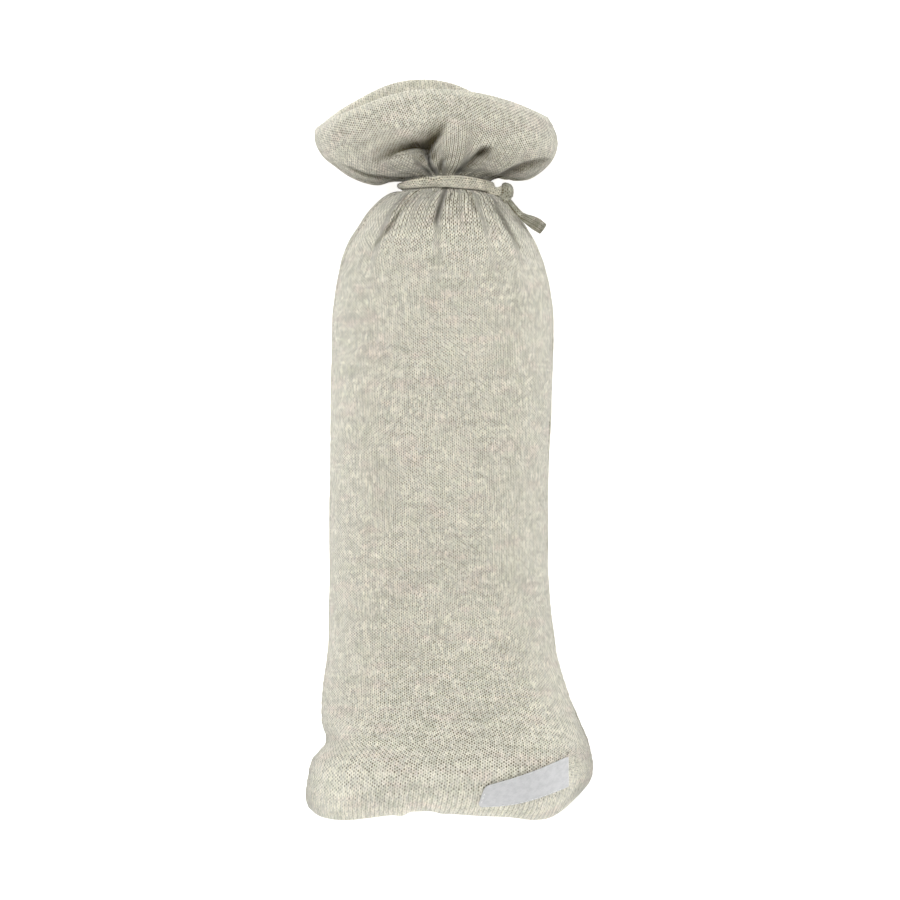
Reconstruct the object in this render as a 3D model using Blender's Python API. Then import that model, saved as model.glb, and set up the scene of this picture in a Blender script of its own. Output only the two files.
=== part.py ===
"""Cover for a hot water bottle: a jersey bag, gathered and tied round its neck.

The cover keeps the shape that its bottle gives it and lies on its back on the floor,
z = 0.  +Y runs from the bottom seam to the mouth, +X to the right of someone who looks
down on its face.  Lengths in the tables and functions are millimetres.

The bag is one closed tube.  A ring of the tube has an angle, 0 degrees at the right
side, 90 at the front, 180 at the left and 270 at the back; its station is a length of
cloth from the bottom seam.  The front panel is the ring's front half and the back
panel the other half, and they meet at the two side seams and the bottom seam.
"""

import math

import bmesh
import bpy
import numpy as np

MM = 0.001

# ---------------------------------------------------------------- driving sizes, mm
WALL = 2.4                 # doubled jersey
HEM_EXTRA = 0.8            # more where the mouth's hem is turned in
HEM_DEPTH = 13.0
PIECE_GAP = 0.4
SEAM_HEIGHT = 38.0         # the side seams above the floor
EDGE_RADIUS = 2.8          # half thickness of the flat, unfilled corners
BOTTOM_ROUND = 40.0        # length over which the bottom end rounds off
ROUNDNESS = 2.2            # exponent of the body's oval
FLOOR_BLEND = 1.5          # how softly the cloth meets the floor
CORNER_DROOP = 8.0         # the unfilled corners sink by this
CORNER_START = 40.0        # across, from the cover's middle line
CORNER_REACH = 24.0
CORNER_TOP = -108.0        # along
CORNER_FALL = 38.0
BOTTOM_EDGE_REACH = 34.0   # the bottom seam's own line fades out over this
NO_TANGENT = 1e-9          # a smaller cross product than this gives no direction
SHRINK_FROM = 24.0         # below this station the inner sheet is the outer one shrunk,
SHRINK_TO = 60.0           # and above this one it is offset along the normals

TIE_HALF_WIDTH = 2.6
TIE_HALF_THICKNESS = 1.05
TIE_STANDOFF = 1.10        # from the gathered cloth's mean surface to the band
LABEL_GAP = 0.55
LABEL_THICKNESS = 1.0

# ---------------------------------------------------------------- divisions of the meshes
FRONT_COLUMNS = 46
BACK_COLUMNS = 20
COLUMN_CROWDING = 0.3      # the columns stand closer at a panel's middle by this share
HEM_ROUND_STEPS = 2
BAND_STEPS = 72
BAND_SIDES = 8
KNOT_RINGS = 12
KNOT_SIDES = 16
TAIL_STEPS = 14
TAIL_SIDES = 8
LABEL_COLUMNS = 12
LABEL_ROWS = 5

# A row for each section.  left, right: the outline's x.  y_...: how far up the ring's
# left, right, front and back points lie.  front, back: depth from the side seams.
# fullness: 0.5 is an oval, more draws the sides in to flat corners.
# seam_l, seam_r: how far the side seams turn to the front, in degrees.
# steps: rows of the mesh up to the next section.
SECTION_COLUMNS = ("name", "steps", "left", "right", "y_left", "y_right", "y_front",
                   "y_back", "front", "back", "fullness", "seam_l", "seam_r")
SECTIONS = (
    ("bottom seam", 4, -63.5, 58.5, -160.9, -155.0, -162.6, -162.6, 38.0, 41.0, 1.75, 0, 0),
    ("corners", 3, -64.8, 62.8, -156.8, -149.9, -157.5, -157.5, 38.0, 41.5, 1.55, 0, 0),
    ("ears", 2, -63.9, 64.8, -147.5, -142.4, -146.5, -146.5, 38.0, 42.0, 1.30, 0, 0),
    ("ear tops", 1, -62.1, 64.2, -138.8, -137.6, -138.8, -138.8, 38.0, 42.5, 1.10, 0, 0),
    ("notch", 1, -56.0, 62.4, -131.2, -131.2, -131.2, -131.2, 38.0, 43.0, 0.95, 0, 0),
    ("above notch", 1, -57.6, 58.4, -121.9, -121.9, -121.9, -121.9, 38.0, 43.0, 0.80, 1, 1),
    ("lower side", 1, -57.1, 53.1, -108.2, -108.2, -108.2, -108.2, 38.0, 43.0, 0.68, 3, 3),
    ("waist", 1, -54.9, 48.3, -90.2, -90.2, -90.2, -90.2, 38.0, 43.0, 0.57, 5, 5),
    ("low body", 1, -54.1, 45.1, -66.0, -66.0, -66.0, -66.0, 38.2, 43.0, 0.51, 6, 6),
    ("body", 1, -54.0, 44.5, -40.0, -40.0, -40.0, -40.0, 38.4, 43.0, 0.50, 6, 6),
    ("mid body", 1, -53.8, 45.0, 0.0, 0.0, 0.0, 0.0, 38.5, 43.0, 0.50, 6, 6),
    ("high body", 1, -53.1, 46.6, 40.0, 40.0, 40.0, 40.0, 38.2, 43.0, 0.50, 7, 6),
    ("chest", 1, -52.0, 46.2, 67.3, 67.3, 67.3, 67.3, 37.2, 42.0, 0.50, 9, 7),
    ("shoulder top", 1, -49.8, 43.6, 81.0, 81.0, 81.0, 81.0, 35.6, 39.5, 0.50, 12, 9),
    ("shoulder", 2, -46.3, 39.4, 92.2, 92.2, 92.2, 92.2, 32.8, 36.0, 0.50, 16, 12),
    ("upper shoulder", 2, -41.4, 34.6, 100.6, 100.6, 101.2, 100.0, 29.2, 31.0, 0.50, 19, 14),
    ("gathers", 2, -35.4, 29.4, 108.6, 108.0, 109.8, 107.2, 24.8, 25.6, 0.50, 20, 14),
    ("below tie", 2, -27.0, 23.4, 113.5, 112.9, 115.4, 111.8, 19.6, 19.6, 0.50, 18, 12),
    ("tie's lower edge", 2, -21.1, 18.4, 115.5, 114.9, 117.9, 113.7, 15.7, 15.7, 0.50, 14, 10),
    ("tie's upper edge", 2, -21.1, 18.4, 121.2, 120.8, 123.9, 119.3, 15.9, 15.7, 0.50, 12, 8),
    ("ruffle's root", 2, -25.4, 23.2, 123.6, 122.9, 126.2, 122.0, 19.6, 19.0, 0.50, 12, 8),
    ("ruffle's lip", 2, -31.9, 29.3, 120.6, 121.6, 128.0, 123.2, 24.0, 23.4, 0.50, 12, 8),
    ("lower roll", 3, -38.4, 35.8, 120.4, 122.3, 131.8, 126.3, 28.4, 27.9, 0.50, 12, 8),
    ("roll", 3, -46.0, 42.6, 123.5, 126.7, 137.9, 132.8, 32.6, 32.4, 0.50, 11, 8),
    ("belly", 3, -52.2, 47.2, 127.8, 132.3, 144.7, 140.0, 35.6, 36.2, 0.50, 10, 7),
    ("wide belly", 3, -57.2, 48.8, 132.2, 138.0, 150.8, 146.8, 37.2, 38.6, 0.50, 8, 6),
    ("below hem", 2, -60.2, 47.5, 138.0, 143.9, 156.8, 154.6, 37.6, 39.8, 0.50, 7, 5),
    ("rim", 0, -61.0, 44.4, 144.4, 150.6, 162.0, 166.0, 36.0, 39.4, 0.50, 6, 4),
)

# The line of the bottom seam between the two corners, x and y.
BOTTOM_EDGE_COLUMNS = ("x", "y")
BOTTOM_EDGE = (
    (-63.5, -160.9),
    (-59.5, -164.2),
    (-54.0, -165.9),
    (-47.0, -166.4),
    (-36.0, -165.4),
    (-22.0, -163.0),
    (-8.0, -162.5),
    (12.0, -164.0),
    (28.0, -165.2),
    (38.0, -166.3),
    (45.5, -165.2),
    (52.0, -161.2),
    (58.5, -155.0),
)

# Soft troughs of the face, drawn as they are seen from the front.  Each runs from
# (x0, y0) to (x1, y1) with a sideways bow, and is as deep at its start and end as the
# start and end shares say.  A negative depth is a soft ridge.
FOLD_COLUMNS = ("name", "x0", "y0", "x1", "y1", "bow", "depth", "width", "start", "end")
FOLDS = (
    ("left shoulder groove", -15.5, 116.0, -37.5, 86.0, 1.8, 3.4, 3.5, 0.75, 0.05),
    ("centre shoulder groove", -0.2, 117.5, -6.0, 99.5, -0.6, 2.8, 2.7, 0.60, 0.10),
    ("small shoulder groove", 9.6, 115.5, 13.2, 102.5, -0.6, 1.4, 2.5, 0.60, 0.05),
    ("right shoulder groove", 14.8, 116.0, 35.0, 86.5, -1.6, 3.2, 3.3, 0.75, 0.05),
    ("long tuck of the left lobe", -38.5, 128.6, -9.8, 134.2, -0.8, 4.4, 3.9, 0.05, 0.85),
    ("rise of the long tuck", -9.6, 134.6, -0.6, 149.5, 1.0, 3.9, 3.9, 0.85, 0.05),
    ("foot of the long tuck", -8.6, 132.4, -5.2, 124.6, 1.0, 2.0, 2.9, 0.60, 0.60),
    ("right tuck", 2.6, 125.4, 17.6, 136.8, 0.8, 3.6, 3.4, 0.55, 0.20),
    ("small left gather", -18.0, 129.2, -9.0, 124.6, 0.3, 1.2, 2.6, 0.10, 0.80),
    ("central pleat", -4.0, 129.0, 2.5, 140.5, -1.2, -1.6, 3.2, 0.60, 0.20),
    ("left lobe", -22.0, 128.0, -44.0, 130.0, 0.6, -1.4, 4.0, 0.70, 0.30),
    ("right lobe", 14.0, 129.5, 36.0, 134.0, 0.6, -1.3, 5.0, 0.70, 0.30),
    ("crease from the notch", -56.0, -131.0, -44.0, -137.5, -0.8, 1.3, 3.2, 0.80, 0.10),
)

# Gathers all round the neck.  up and down: depth of the trough above and below the
# tie; reach_up and reach_down: how far along the cloth it fades out; width in degrees.
GATHER_COLUMNS = ("name", "angle", "up", "reach_up", "down", "reach_down", "width")
GATHERS = (
    ("under the right lip", 20.0, 3.0, 34.0, 0.6, 16.0, 13.0),
    ("under the left lip", 167.0, 2.2, 36.0, 0.5, 16.0, 10.0),
    ("back, left side", 203.0, 2.6, 26.0, 2.2, 30.0, 8.0),
    ("back, left", 226.0, 3.2, 34.0, 2.8, 34.0, 8.0),
    ("back, left of middle", 250.0, 2.4, 22.0, 2.0, 24.0, 7.0),
    ("back, middle", 271.0, 3.4, 36.0, 3.0, 32.0, 8.0),
    ("back, right of middle", 293.0, 2.6, 26.0, 2.2, 26.0, 7.0),
    ("back, right", 316.0, 3.2, 34.0, 2.8, 34.0, 8.0),
    ("back, right side", 340.0, 2.2, 22.0, 2.0, 26.0, 7.0),
)
UNDER_TIE_SHARE = 0.18     # what is left of a trough where the band holds it
UNDER_TIE_REACH = 5.5
GATHER_PEAK = 8.0          # a gather is deepest this far from the band
SWELL_SHARE = 0.35         # the cloth swells beside each trough by this much of it
FOLD_JOIN = 3.0            # how strictly the deepest of two meeting troughs wins

# The back of the mouth drops behind the front's rim at the right.
RIM_DIP_ANGLE = 302.0
RIM_DIP_WIDTH = 21.0
RIM_DIP_DEPTH = 6.3
RIM_DIP_REACH = 34.0

# The tie is turned over once where it crosses the front.
TWIST_FROM = 84.0          # degrees round the neck
TWIST_TO = 124.0
TWIST_SWELL = 0.9

KNOT_CENTRE = (23.9, 117.3, 46.0)
KNOT_RADII = (4.2, 3.9, 3.3)
KNOT_TURN = math.radians(20.0)
KNOT_WRAP = 0.09
KNOT_TAPER = 0.45          # how much lower the knot is where it leaves the band

# The free end of the tie, from the knot to its square-cut end.
TAIL_COLUMNS = ("x", "y", "z", "half_width", "half_thickness")
TAIL = (
    (25.2, 114.3, 48.8, 1.5, 0.9),
    (28.4, 109.9, 53.5, 1.7, 0.9),
    (31.6, 106.0, 54.2, 1.8, 0.9),
    (34.6, 103.3, 52.4, 2.0, 0.9),
    (38.2, 101.4, 49.6, 2.5, 0.9),
    (42.0, 99.6, 46.4, 2.9, 0.9),
)

# The label's corners as they are seen from the front.
LABEL_CORNERS = {
    "bottom_left": (12.6, -160.4),
    "bottom_right": (53.4, -151.5),
    "top_left": (15.8, -150.7),
    "top_right": (53.1, -137.8),
}

OATMEAL = (0.58, 0.54, 0.45)
OATMEAL_BACK = (0.55, 0.51, 0.43)
OATMEAL_TIE = (0.50, 0.46, 0.37)
LABEL_WHITE = (0.78, 0.78, 0.77)


# ---------------------------------------------------------------- small helpers
def clear_scene():
    for item in list(bpy.data.objects):
        bpy.data.objects.remove(item, do_unlink=True)


def column(table, names, name):
    place = names.index(name)
    return np.array([row[place] for row in table], dtype=float)


def smooth_step(value, low, high):
    share = np.clip((value - low) / (high - low), 0.0, 1.0)
    return share * share * (3.0 - 2.0 * share)


def quarter_round(share):
    """Height of a quarter circle, 0 at its edge and 1 from its centre on."""
    share = np.clip(share, 0.0, 1.0)
    return np.sqrt(share * (2.0 - share))


def through(knots, values, at):
    """A smooth curve through a table's values, read at any place."""
    slopes = np.gradient(values, knots)
    first = np.clip(np.searchsorted(knots, at, side="right") - 1, 0, len(knots) - 2)
    span = knots[first + 1] - knots[first]
    share = (at - knots[first]) / span
    square = share * share
    cube = square * share
    return ((2.0 * cube - 3.0 * square + 1.0) * values[first]
            + (cube - 2.0 * square + share) * span * slopes[first]
            + (3.0 * square - 2.0 * cube) * values[first + 1]
            + (cube - square) * span * slopes[first + 1])


def station_lengths():
    """Length of cloth from the bottom seam to each section, mean of side and front."""
    left = np.stack([column(SECTIONS, SECTION_COLUMNS, "left"),
                     column(SECTIONS, SECTION_COLUMNS, "y_left")], axis=1)
    right = np.stack([column(SECTIONS, SECTION_COLUMNS, "right"),
                      column(SECTIONS, SECTION_COLUMNS, "y_right")], axis=1)
    front = np.stack([column(SECTIONS, SECTION_COLUMNS, "front"),
                      column(SECTIONS, SECTION_COLUMNS, "y_front")], axis=1)
    steps = [np.linalg.norm(np.diff(line, axis=0), axis=1) for line in (left, right, front)]
    return np.concatenate([[0.0], np.cumsum(np.mean(steps, axis=0))])


STATIONS = station_lengths()
SECTION_NAMES = [row[0] for row in SECTIONS]
LOWER_TIE = STATIONS[SECTION_NAMES.index("tie's lower edge")]
UPPER_TIE = STATIONS[SECTION_NAMES.index("tie's upper edge")]
TIE_STATION = (LOWER_TIE + UPPER_TIE) / 2.0
RIM_STATION = STATIONS[-1]


def section(name, station):
    return through(STATIONS, column(SECTIONS, SECTION_COLUMNS, name), station)


# ---------------------------------------------------------------- the bag's surface
def ring_height(angle, station):
    """y of a ring's points, from its heights at the left, right, front and back."""
    across = np.cos(angle)
    outward = np.sin(angle)
    side = np.where(across > 0.0, section("y_right", station), section("y_left", station))
    face = np.where(outward > 0.0, section("y_front", station), section("y_back", station))
    turn = np.degrees(angle) % 360.0
    dip = RIM_DIP_DEPTH * np.exp(-((turn - RIM_DIP_ANGLE) / RIM_DIP_WIDTH) ** 2)
    dip = dip * smooth_step(station, RIM_STATION - RIM_DIP_REACH, RIM_STATION)
    return side * across ** 2 + face * outward ** 2 - dip


def plain_surface(angle, station, inset=0.0):
    """The tube without its folds.  Below station 0 it is mirrored in the seams' plane.

    With an inset, the outline, the bottom edge and the depths all shrink by it.
    """
    beyond = np.where(station < 0.0, -1.0, 1.0)
    station = np.abs(station)
    power = 2.0 / ROUNDNESS
    across = np.cos(angle)
    outward = np.sin(angle)
    left = section("left", station)
    right = section("right", station)
    half = (right - left) / 2.0 - inset
    reach = np.sign(across) * np.abs(across) ** power
    x = (left + right) / 2.0 + half * reach
    above_seam = section("y_front", station) - section("y_front", 0.0)
    radius = EDGE_RADIUS - inset
    lip = radius * quarter_round(above_seam / radius)
    depth = np.where(outward > 0.0, section("front", station), section("back", station)) - inset
    swell = np.maximum(depth * quarter_round(above_seam / BOTTOM_ROUND) - lip, 0.0)
    fullness = 2.0 * section("fullness", station) * power
    edge = quarter_round(half * (1.0 - np.abs(reach)) / radius)
    height = lip * edge + swell * np.abs(outward) ** fullness
    z = SEAM_HEIGHT + beyond * np.sign(outward) * height
    bottom = through(column(BOTTOM_EDGE, BOTTOM_EDGE_COLUMNS, "x"),
                     column(BOTTOM_EDGE, BOTTOM_EDGE_COLUMNS, "y"),
                     np.clip(x, BOTTOM_EDGE[0][0], BOTTOM_EDGE[-1][0]))
    follow = 1.0 - smooth_step(above_seam, 0.0, BOTTOM_EDGE_REACH)
    y = ring_height(angle, station)
    y = y + follow * (bottom + inset - ring_height(angle, np.zeros_like(station)))
    return np.stack([x, y, z], axis=-1)


def surface_normal(angle, station):
    """Outward unit normal of the plain surface; the bag's two corners point diagonally."""
    small_angle = 1e-4
    small_step = 1e-3
    around = (plain_surface(angle + small_angle, station)
              - plain_surface(angle - small_angle, station))
    along = (plain_surface(angle, station + small_step)
             - plain_surface(angle, np.minimum(station, RIM_STATION) - small_step))
    normal = np.cross(along, around)
    size = np.linalg.norm(normal, axis=-1, keepdims=True)
    corner = np.stack([np.sign(np.cos(angle)), -np.ones_like(angle), np.zeros_like(angle)], axis=-1)
    at_corner = size < NO_TANGENT
    return np.where(at_corner, corner / math.sqrt(2.0), normal / np.where(at_corner, 1.0, size))


def fold_curve(row, samples=13):
    """Points along one fold of the face, and how deep it is at each."""
    fold = dict(zip(FOLD_COLUMNS, row))
    share = np.linspace(0.0, 1.0, samples)
    run = np.array([fold["x1"] - fold["x0"], fold["y1"] - fold["y0"]])
    sideways = np.array([-run[1], run[0]]) / np.linalg.norm(run)
    points = (np.array([fold["x0"], fold["y0"]]) + share[:, None] * run
              + (4.0 * share * (1.0 - share) * fold["bow"])[:, None] * sideways)
    ends = np.interp(share, [0.0, 0.35, 0.6, 1.0], [fold["start"], 1.0, 1.0, fold["end"]])
    return points, fold["depth"] * ends, fold["width"]


def trough(distance, width):
    """Profile across a fold: a soft trough with a slight swell on each side."""
    swell = SWELL_SHARE * np.exp(-((distance - 2.1 * width) / (1.1 * width)) ** 2)
    return swell - np.exp(-(distance / width) ** 2)


def face_folds(points, angle):
    """How far the face's own folds move the cloth outwards.

    Where troughs meet, the deepest counts and the others add little.
    """
    raised = np.zeros(points.shape[:-1])
    sunk = np.zeros(points.shape[:-1])
    flat = points[..., :2]
    for row in FOLDS:
        line, depths, width = fold_curve(row)
        away = np.linalg.norm(flat[..., None, :] - line, axis=-1)
        nearest = np.argmin(away, axis=-1)
        distance = np.min(away, axis=-1)
        centre = np.exp(-(distance / width) ** 2)
        raised = raised + depths[nearest] * (trough(distance, width) + centre)
        raised = raised - np.minimum(depths[nearest], 0.0) * centre
        sunk = sunk + (np.maximum(depths[nearest], 0.0) * centre) ** FOLD_JOIN
    moved = raised - sunk ** (1.0 / FOLD_JOIN)
    return moved * smooth_step(np.sin(angle), 0.10, 0.40)


def gather_folds(angle, station):
    """How far the gathers round the neck move the cloth outwards."""
    turn = np.degrees(angle)
    from_tie = station - TIE_STATION
    moved = np.zeros(np.shape(turn))
    for row in GATHERS:
        gather = dict(zip(GATHER_COLUMNS, row))
        away = np.abs((turn - gather["angle"] + 180.0) % 360.0 - 180.0)
        above = from_tie > 0.0
        depth = np.where(above, gather["up"], gather["down"])
        reach = np.where(above, gather["reach_up"], gather["reach_down"])
        run = np.abs(from_tie)
        fade = smooth_step(run, 0.0, GATHER_PEAK) * (1.0 - smooth_step(run, GATHER_PEAK, reach))
        moved = moved + depth * fade * trough(away, gather["width"])
    return moved


def cloth_point(angle, station, inset):
    """A point of the cloth, inset inwards from its outer face by so many millimetres."""
    plain = plain_surface(angle, station)
    near_tie = np.abs(station - TIE_STATION) - TIE_HALF_WIDTH
    hold = UNDER_TIE_SHARE + (1.0 - UNDER_TIE_SHARE) * smooth_step(near_tie, 0.0, UNDER_TIE_REACH)
    moved = hold * (face_folds(plain, angle) + gather_folds(angle, station))
    normal = surface_normal(angle, station)
    point = plain + normal * (moved - inset)[..., None]
    if np.any(inset > 0.0):
        shrunk = plain_surface(angle, station, WALL) + normal * moved[..., None]
        upper = smooth_step(station, SHRINK_FROM, SHRINK_TO)[..., None]
        point = shrunk * (1.0 - upper) + point * upper
    return droop(point)


def droop(point):
    """The flat corners hang a little, both panels together."""
    aside = smooth_step(np.abs(point[..., 0]) - CORNER_START, 0.0, CORNER_REACH)
    low = smooth_step(CORNER_TOP - point[..., 1], 0.0, CORNER_FALL)
    lowered = point.copy()
    lowered[..., 2] = point[..., 2] - CORNER_DROOP * aside * low
    return lowered


def on_floor(height, level):
    """Heights kept from falling below a level, with a soft rise beside the flat."""
    rise = height - level
    blend = level + (rise + FLOOR_BLEND) ** 2 / (4.0 * FLOOR_BLEND)
    return np.where(rise < -FLOOR_BLEND, level, np.where(rise < FLOOR_BLEND, blend, height))


def wall_thickness(station):
    return WALL + HEM_EXTRA * smooth_step(station, RIM_STATION - HEM_DEPTH, RIM_STATION - 2.0)


def row_stations():
    """Stations of the mesh's rows; close together where the bottom edge rounds."""
    rows = []
    for place, row in enumerate(SECTIONS[:-1]):
        low, high = STATIONS[place], STATIONS[place + 1]
        share = np.arange(row[1]) / row[1]
        if place == 0:
            share = share ** 1.7
        rows.extend(low + (high - low) * share)
    rows.append(RIM_STATION)
    return np.array(rows)


# ---------------------------------------------------------------- meshes
def make_object(name, points, faces, colour, roughness):
    mesh = bpy.data.meshes.new(name)
    mesh.from_pydata([tuple(point * MM) for point in points], [], faces)
    shell = bmesh.new()
    shell.from_mesh(mesh)
    bmesh.ops.recalc_face_normals(shell, faces=shell.faces)
    shell.to_mesh(mesh)
    shell.free()
    mesh.shade_smooth()
    item = bpy.data.objects.new(name, mesh)
    bpy.context.scene.collection.objects.link(item)
    material = bpy.data.materials.new(name + "_cloth")
    material.use_nodes = True
    shader = material.node_tree.nodes["Principled BSDF"]
    shader.inputs["Base Color"].default_value = (*colour, 1.0)
    shader.inputs["Roughness"].default_value = roughness
    shader.inputs["Metallic"].default_value = 0.0
    mesh.materials.append(material)
    mesh.set_sharp_from_angle(angle=math.radians(50.0))
    return item


def grid_faces(rows, columns, first=0, closed=False):
    """Quads of a grid whose points run along the columns, then up the rows."""
    faces = []
    for row in range(rows - 1):
        for place in range(columns if closed else columns - 1):
            after = (place + 1) % columns
            low = first + row * columns
            faces.append((low + place, low + after, low + columns + after, low + columns + place))
    return faces


def panel(name, is_front, columns, colour):
    """One panel: an outer and an inner sheet, closed by its four edges."""
    stations = row_stations()
    start = np.radians(section("seam_r", stations))
    stop = np.radians(180.0 - section("seam_l", stations))
    if not is_front:
        start, stop = stop, start + 2.0 * math.pi
    share = np.linspace(0.0, 1.0, columns)
    if is_front:
        share = share + COLUMN_CROWDING * np.sin(2.0 * math.pi * share) / (2.0 * math.pi)
    angle = start[:, None] + (stop - start)[:, None] * share
    station = np.repeat(stations[:, None], columns, axis=1)
    outer = cloth_point(angle, station, np.zeros_like(station))
    inner = cloth_point(angle, station, wall_thickness(station))
    lift = PIECE_GAP / 2.0 if is_front else -PIECE_GAP / 2.0
    outer[..., 2] = on_floor(outer[..., 2] + lift, 0.0)
    inner[..., 2] = on_floor(inner[..., 2] + lift, WALL)
    hem = rim_roll(outer, inner)
    loops = [outer[row] for row in range(len(stations))] + hem
    loops += [inner[row] for row in reversed(range(len(stations)))]
    points = np.concatenate(loops)
    total = len(loops)
    faces = grid_faces(total, columns)
    top = len(stations) - 1
    for end in (0, columns - 1):
        side = []
        for row in range(top):
            near, far = row * columns + end, (total - 1 - row) * columns + end
            side.append((near, near + columns, far - columns, far))
        side.append(tuple(row * columns + end for row in range(top, total - top)))
        faces.extend(side if end == 0 else [tuple(reversed(face)) for face in side])
    last = (total - 1) * columns
    for place in range(columns - 1):
        faces.append((last + place, last + place + 1, place + 1, place))
    return make_object(name, points, faces, colour, 0.9)


def rim_roll(outer, inner):
    """Rows that round the mouth's edge from the outer to the inner sheet."""
    top = outer[-1]
    under = inner[-1]
    ahead = outer[-1] - outer[-2]
    ahead = ahead / np.linalg.norm(ahead, axis=-1, keepdims=True)
    middle = (top + under) / 2.0
    radius = np.linalg.norm(top - under, axis=-1, keepdims=True) / 2.0
    rows = []
    for step in range(1, HEM_ROUND_STEPS + 1):
        turn = math.pi * step / (HEM_ROUND_STEPS + 1)
        rows.append(middle + (top - middle) * math.cos(turn) + ahead * radius * math.sin(turn))
    return rows


def flat_section(sides, half_width, half_thickness, squareness=2.6):
    """Points round a flat strip's section: width along the first axis."""
    turn = 2.0 * math.pi * (np.arange(sides) + 0.5) / sides
    power = 2.0 / squareness
    wide = np.sign(np.cos(turn)) * np.abs(np.cos(turn)) ** power
    thick = np.sign(np.sin(turn)) * np.abs(np.sin(turn)) ** power
    return wide * half_width, thick * half_thickness


def tie_band():
    """The strip round the neck, turned over once at the front."""
    angle = 2.0 * math.pi * np.arange(BAND_STEPS) / BAND_STEPS
    station = np.full_like(angle, TIE_STATION)
    centre = plain_surface(angle, station)
    outward = surface_normal(angle, station)
    up = plain_surface(angle, station + 1.0) - plain_surface(angle, station - 1.0)
    up = up - outward * np.sum(up * outward, axis=-1, keepdims=True)
    up = up / np.linalg.norm(up, axis=-1, keepdims=True)
    turn = np.degrees(angle)
    twist = math.pi * smooth_step(turn, TWIST_FROM, TWIST_TO)
    swell = TWIST_SWELL * np.sin(twist)
    wide, thick = flat_section(BAND_SIDES, 1.0, 1.0)
    half_width = TIE_HALF_WIDTH - 0.3 * swell
    half_thickness = TIE_HALF_THICKNESS + 0.8 * swell
    standoff = TIE_STANDOFF + TIE_HALF_THICKNESS + 1.9 * swell
    along = wide[None, :] * half_width[:, None]
    off = thick[None, :] * half_thickness[:, None]
    rise = along * np.cos(twist)[:, None] - off * np.sin(twist)[:, None]
    out = along * np.sin(twist)[:, None] + off * np.cos(twist)[:, None] + standoff[:, None]
    points = centre[:, None] + up[:, None] * rise[..., None] + outward[:, None] * out[..., None]
    points = points.reshape(-1, 3)
    faces = grid_faces(BAND_STEPS, BAND_SIDES, closed=True)
    last = (BAND_STEPS - 1) * BAND_SIDES
    shift = band_shift(points[last:], points[:BAND_SIDES])
    for place in range(BAND_SIDES):
        after = (place + 1) % BAND_SIDES
        faces.append((last + place, last + after,
                      (after + shift) % BAND_SIDES, (place + shift) % BAND_SIDES))
    return make_object("tie_band", points, faces, OATMEAL_TIE, 0.92)


def band_shift(last_ring, first_ring):
    """How far the section has turned on when the twisted strip meets its start."""
    spans = [np.sum(np.linalg.norm(last_ring - np.roll(first_ring, -shift, axis=0), axis=1))
             for shift in range(BAND_SIDES)]
    return int(np.argmin(spans))


def tie_knot():
    """The knot: a small lump with two wraps round it."""
    points = []
    for ring in range(1, KNOT_RINGS):
        lift = math.pi * ring / KNOT_RINGS
        for side in range(KNOT_SIDES):
            turn = 2.0 * math.pi * side / KNOT_SIDES
            wrap = 1.0 + KNOT_WRAP * math.cos(4.0 * lift + turn) * math.sin(lift)
            points.append((wrap * math.sin(lift) * math.cos(turn),
                           wrap * math.cos(lift),
                           wrap * math.sin(lift) * math.sin(turn)))
    top = len(points)
    points.append((0.0, 1.0, 0.0))
    points.append((0.0, -1.0, 0.0))
    shape = np.array(points)
    shape[:, 1] *= 1.0 - KNOT_TAPER * np.clip(-shape[:, 0], 0.0, 1.0) ** 2
    shape = shape * np.array(KNOT_RADII)
    spin = np.array([[math.cos(KNOT_TURN), -math.sin(KNOT_TURN), 0.0],
                     [math.sin(KNOT_TURN), math.cos(KNOT_TURN), 0.0],
                     [0.0, 0.0, 1.0]])
    shape = shape @ spin.T + np.array(KNOT_CENTRE)
    faces = grid_faces(KNOT_RINGS - 1, KNOT_SIDES, closed=True)
    lowest = (KNOT_RINGS - 2) * KNOT_SIDES
    for side in range(KNOT_SIDES):
        after = (side + 1) % KNOT_SIDES
        faces.append((after, side, top))
        faces.append((lowest + side, lowest + after, top + 1))
    return make_object("tie_knot", shape, faces, OATMEAL_TIE, 0.92)


def tie_tail():
    """The free end: a flat strip that widens to a square-cut end."""
    rows = np.array(TAIL)
    knots = np.arange(len(rows), dtype=float)
    at = np.linspace(0.0, len(rows) - 1.0, TAIL_STEPS)
    path = np.stack([through(knots, rows[:, place], at) for place in range(3)], axis=1)
    half_width = through(knots, rows[:, TAIL_COLUMNS.index("half_width")], at)
    half_thickness = through(knots, rows[:, TAIL_COLUMNS.index("half_thickness")], at)
    ahead = np.gradient(path, axis=0)
    ahead = ahead / np.linalg.norm(ahead, axis=1, keepdims=True)
    sideways = np.cross(ahead, np.array([0.0, 0.0, 1.0]))
    sideways = sideways / np.linalg.norm(sideways, axis=1, keepdims=True)
    face_up = np.cross(sideways, ahead)
    wide, thick = flat_section(TAIL_SIDES, 1.0, 1.0, 3.2)
    points = (path[:, None] + sideways[:, None] * (wide[None] * half_width[:, None])[..., None]
              + face_up[:, None] * (thick[None] * half_thickness[:, None])[..., None])
    faces = grid_faces(TAIL_STEPS, TAIL_SIDES, closed=True)
    faces.append(tuple(range(TAIL_SIDES)))
    last = (TAIL_STEPS - 1) * TAIL_SIDES
    faces.append(tuple(last + side for side in reversed(range(TAIL_SIDES))))
    return make_object("tie_tail", points.reshape(-1, 3), faces, OATMEAL_TIE, 0.92)


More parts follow.
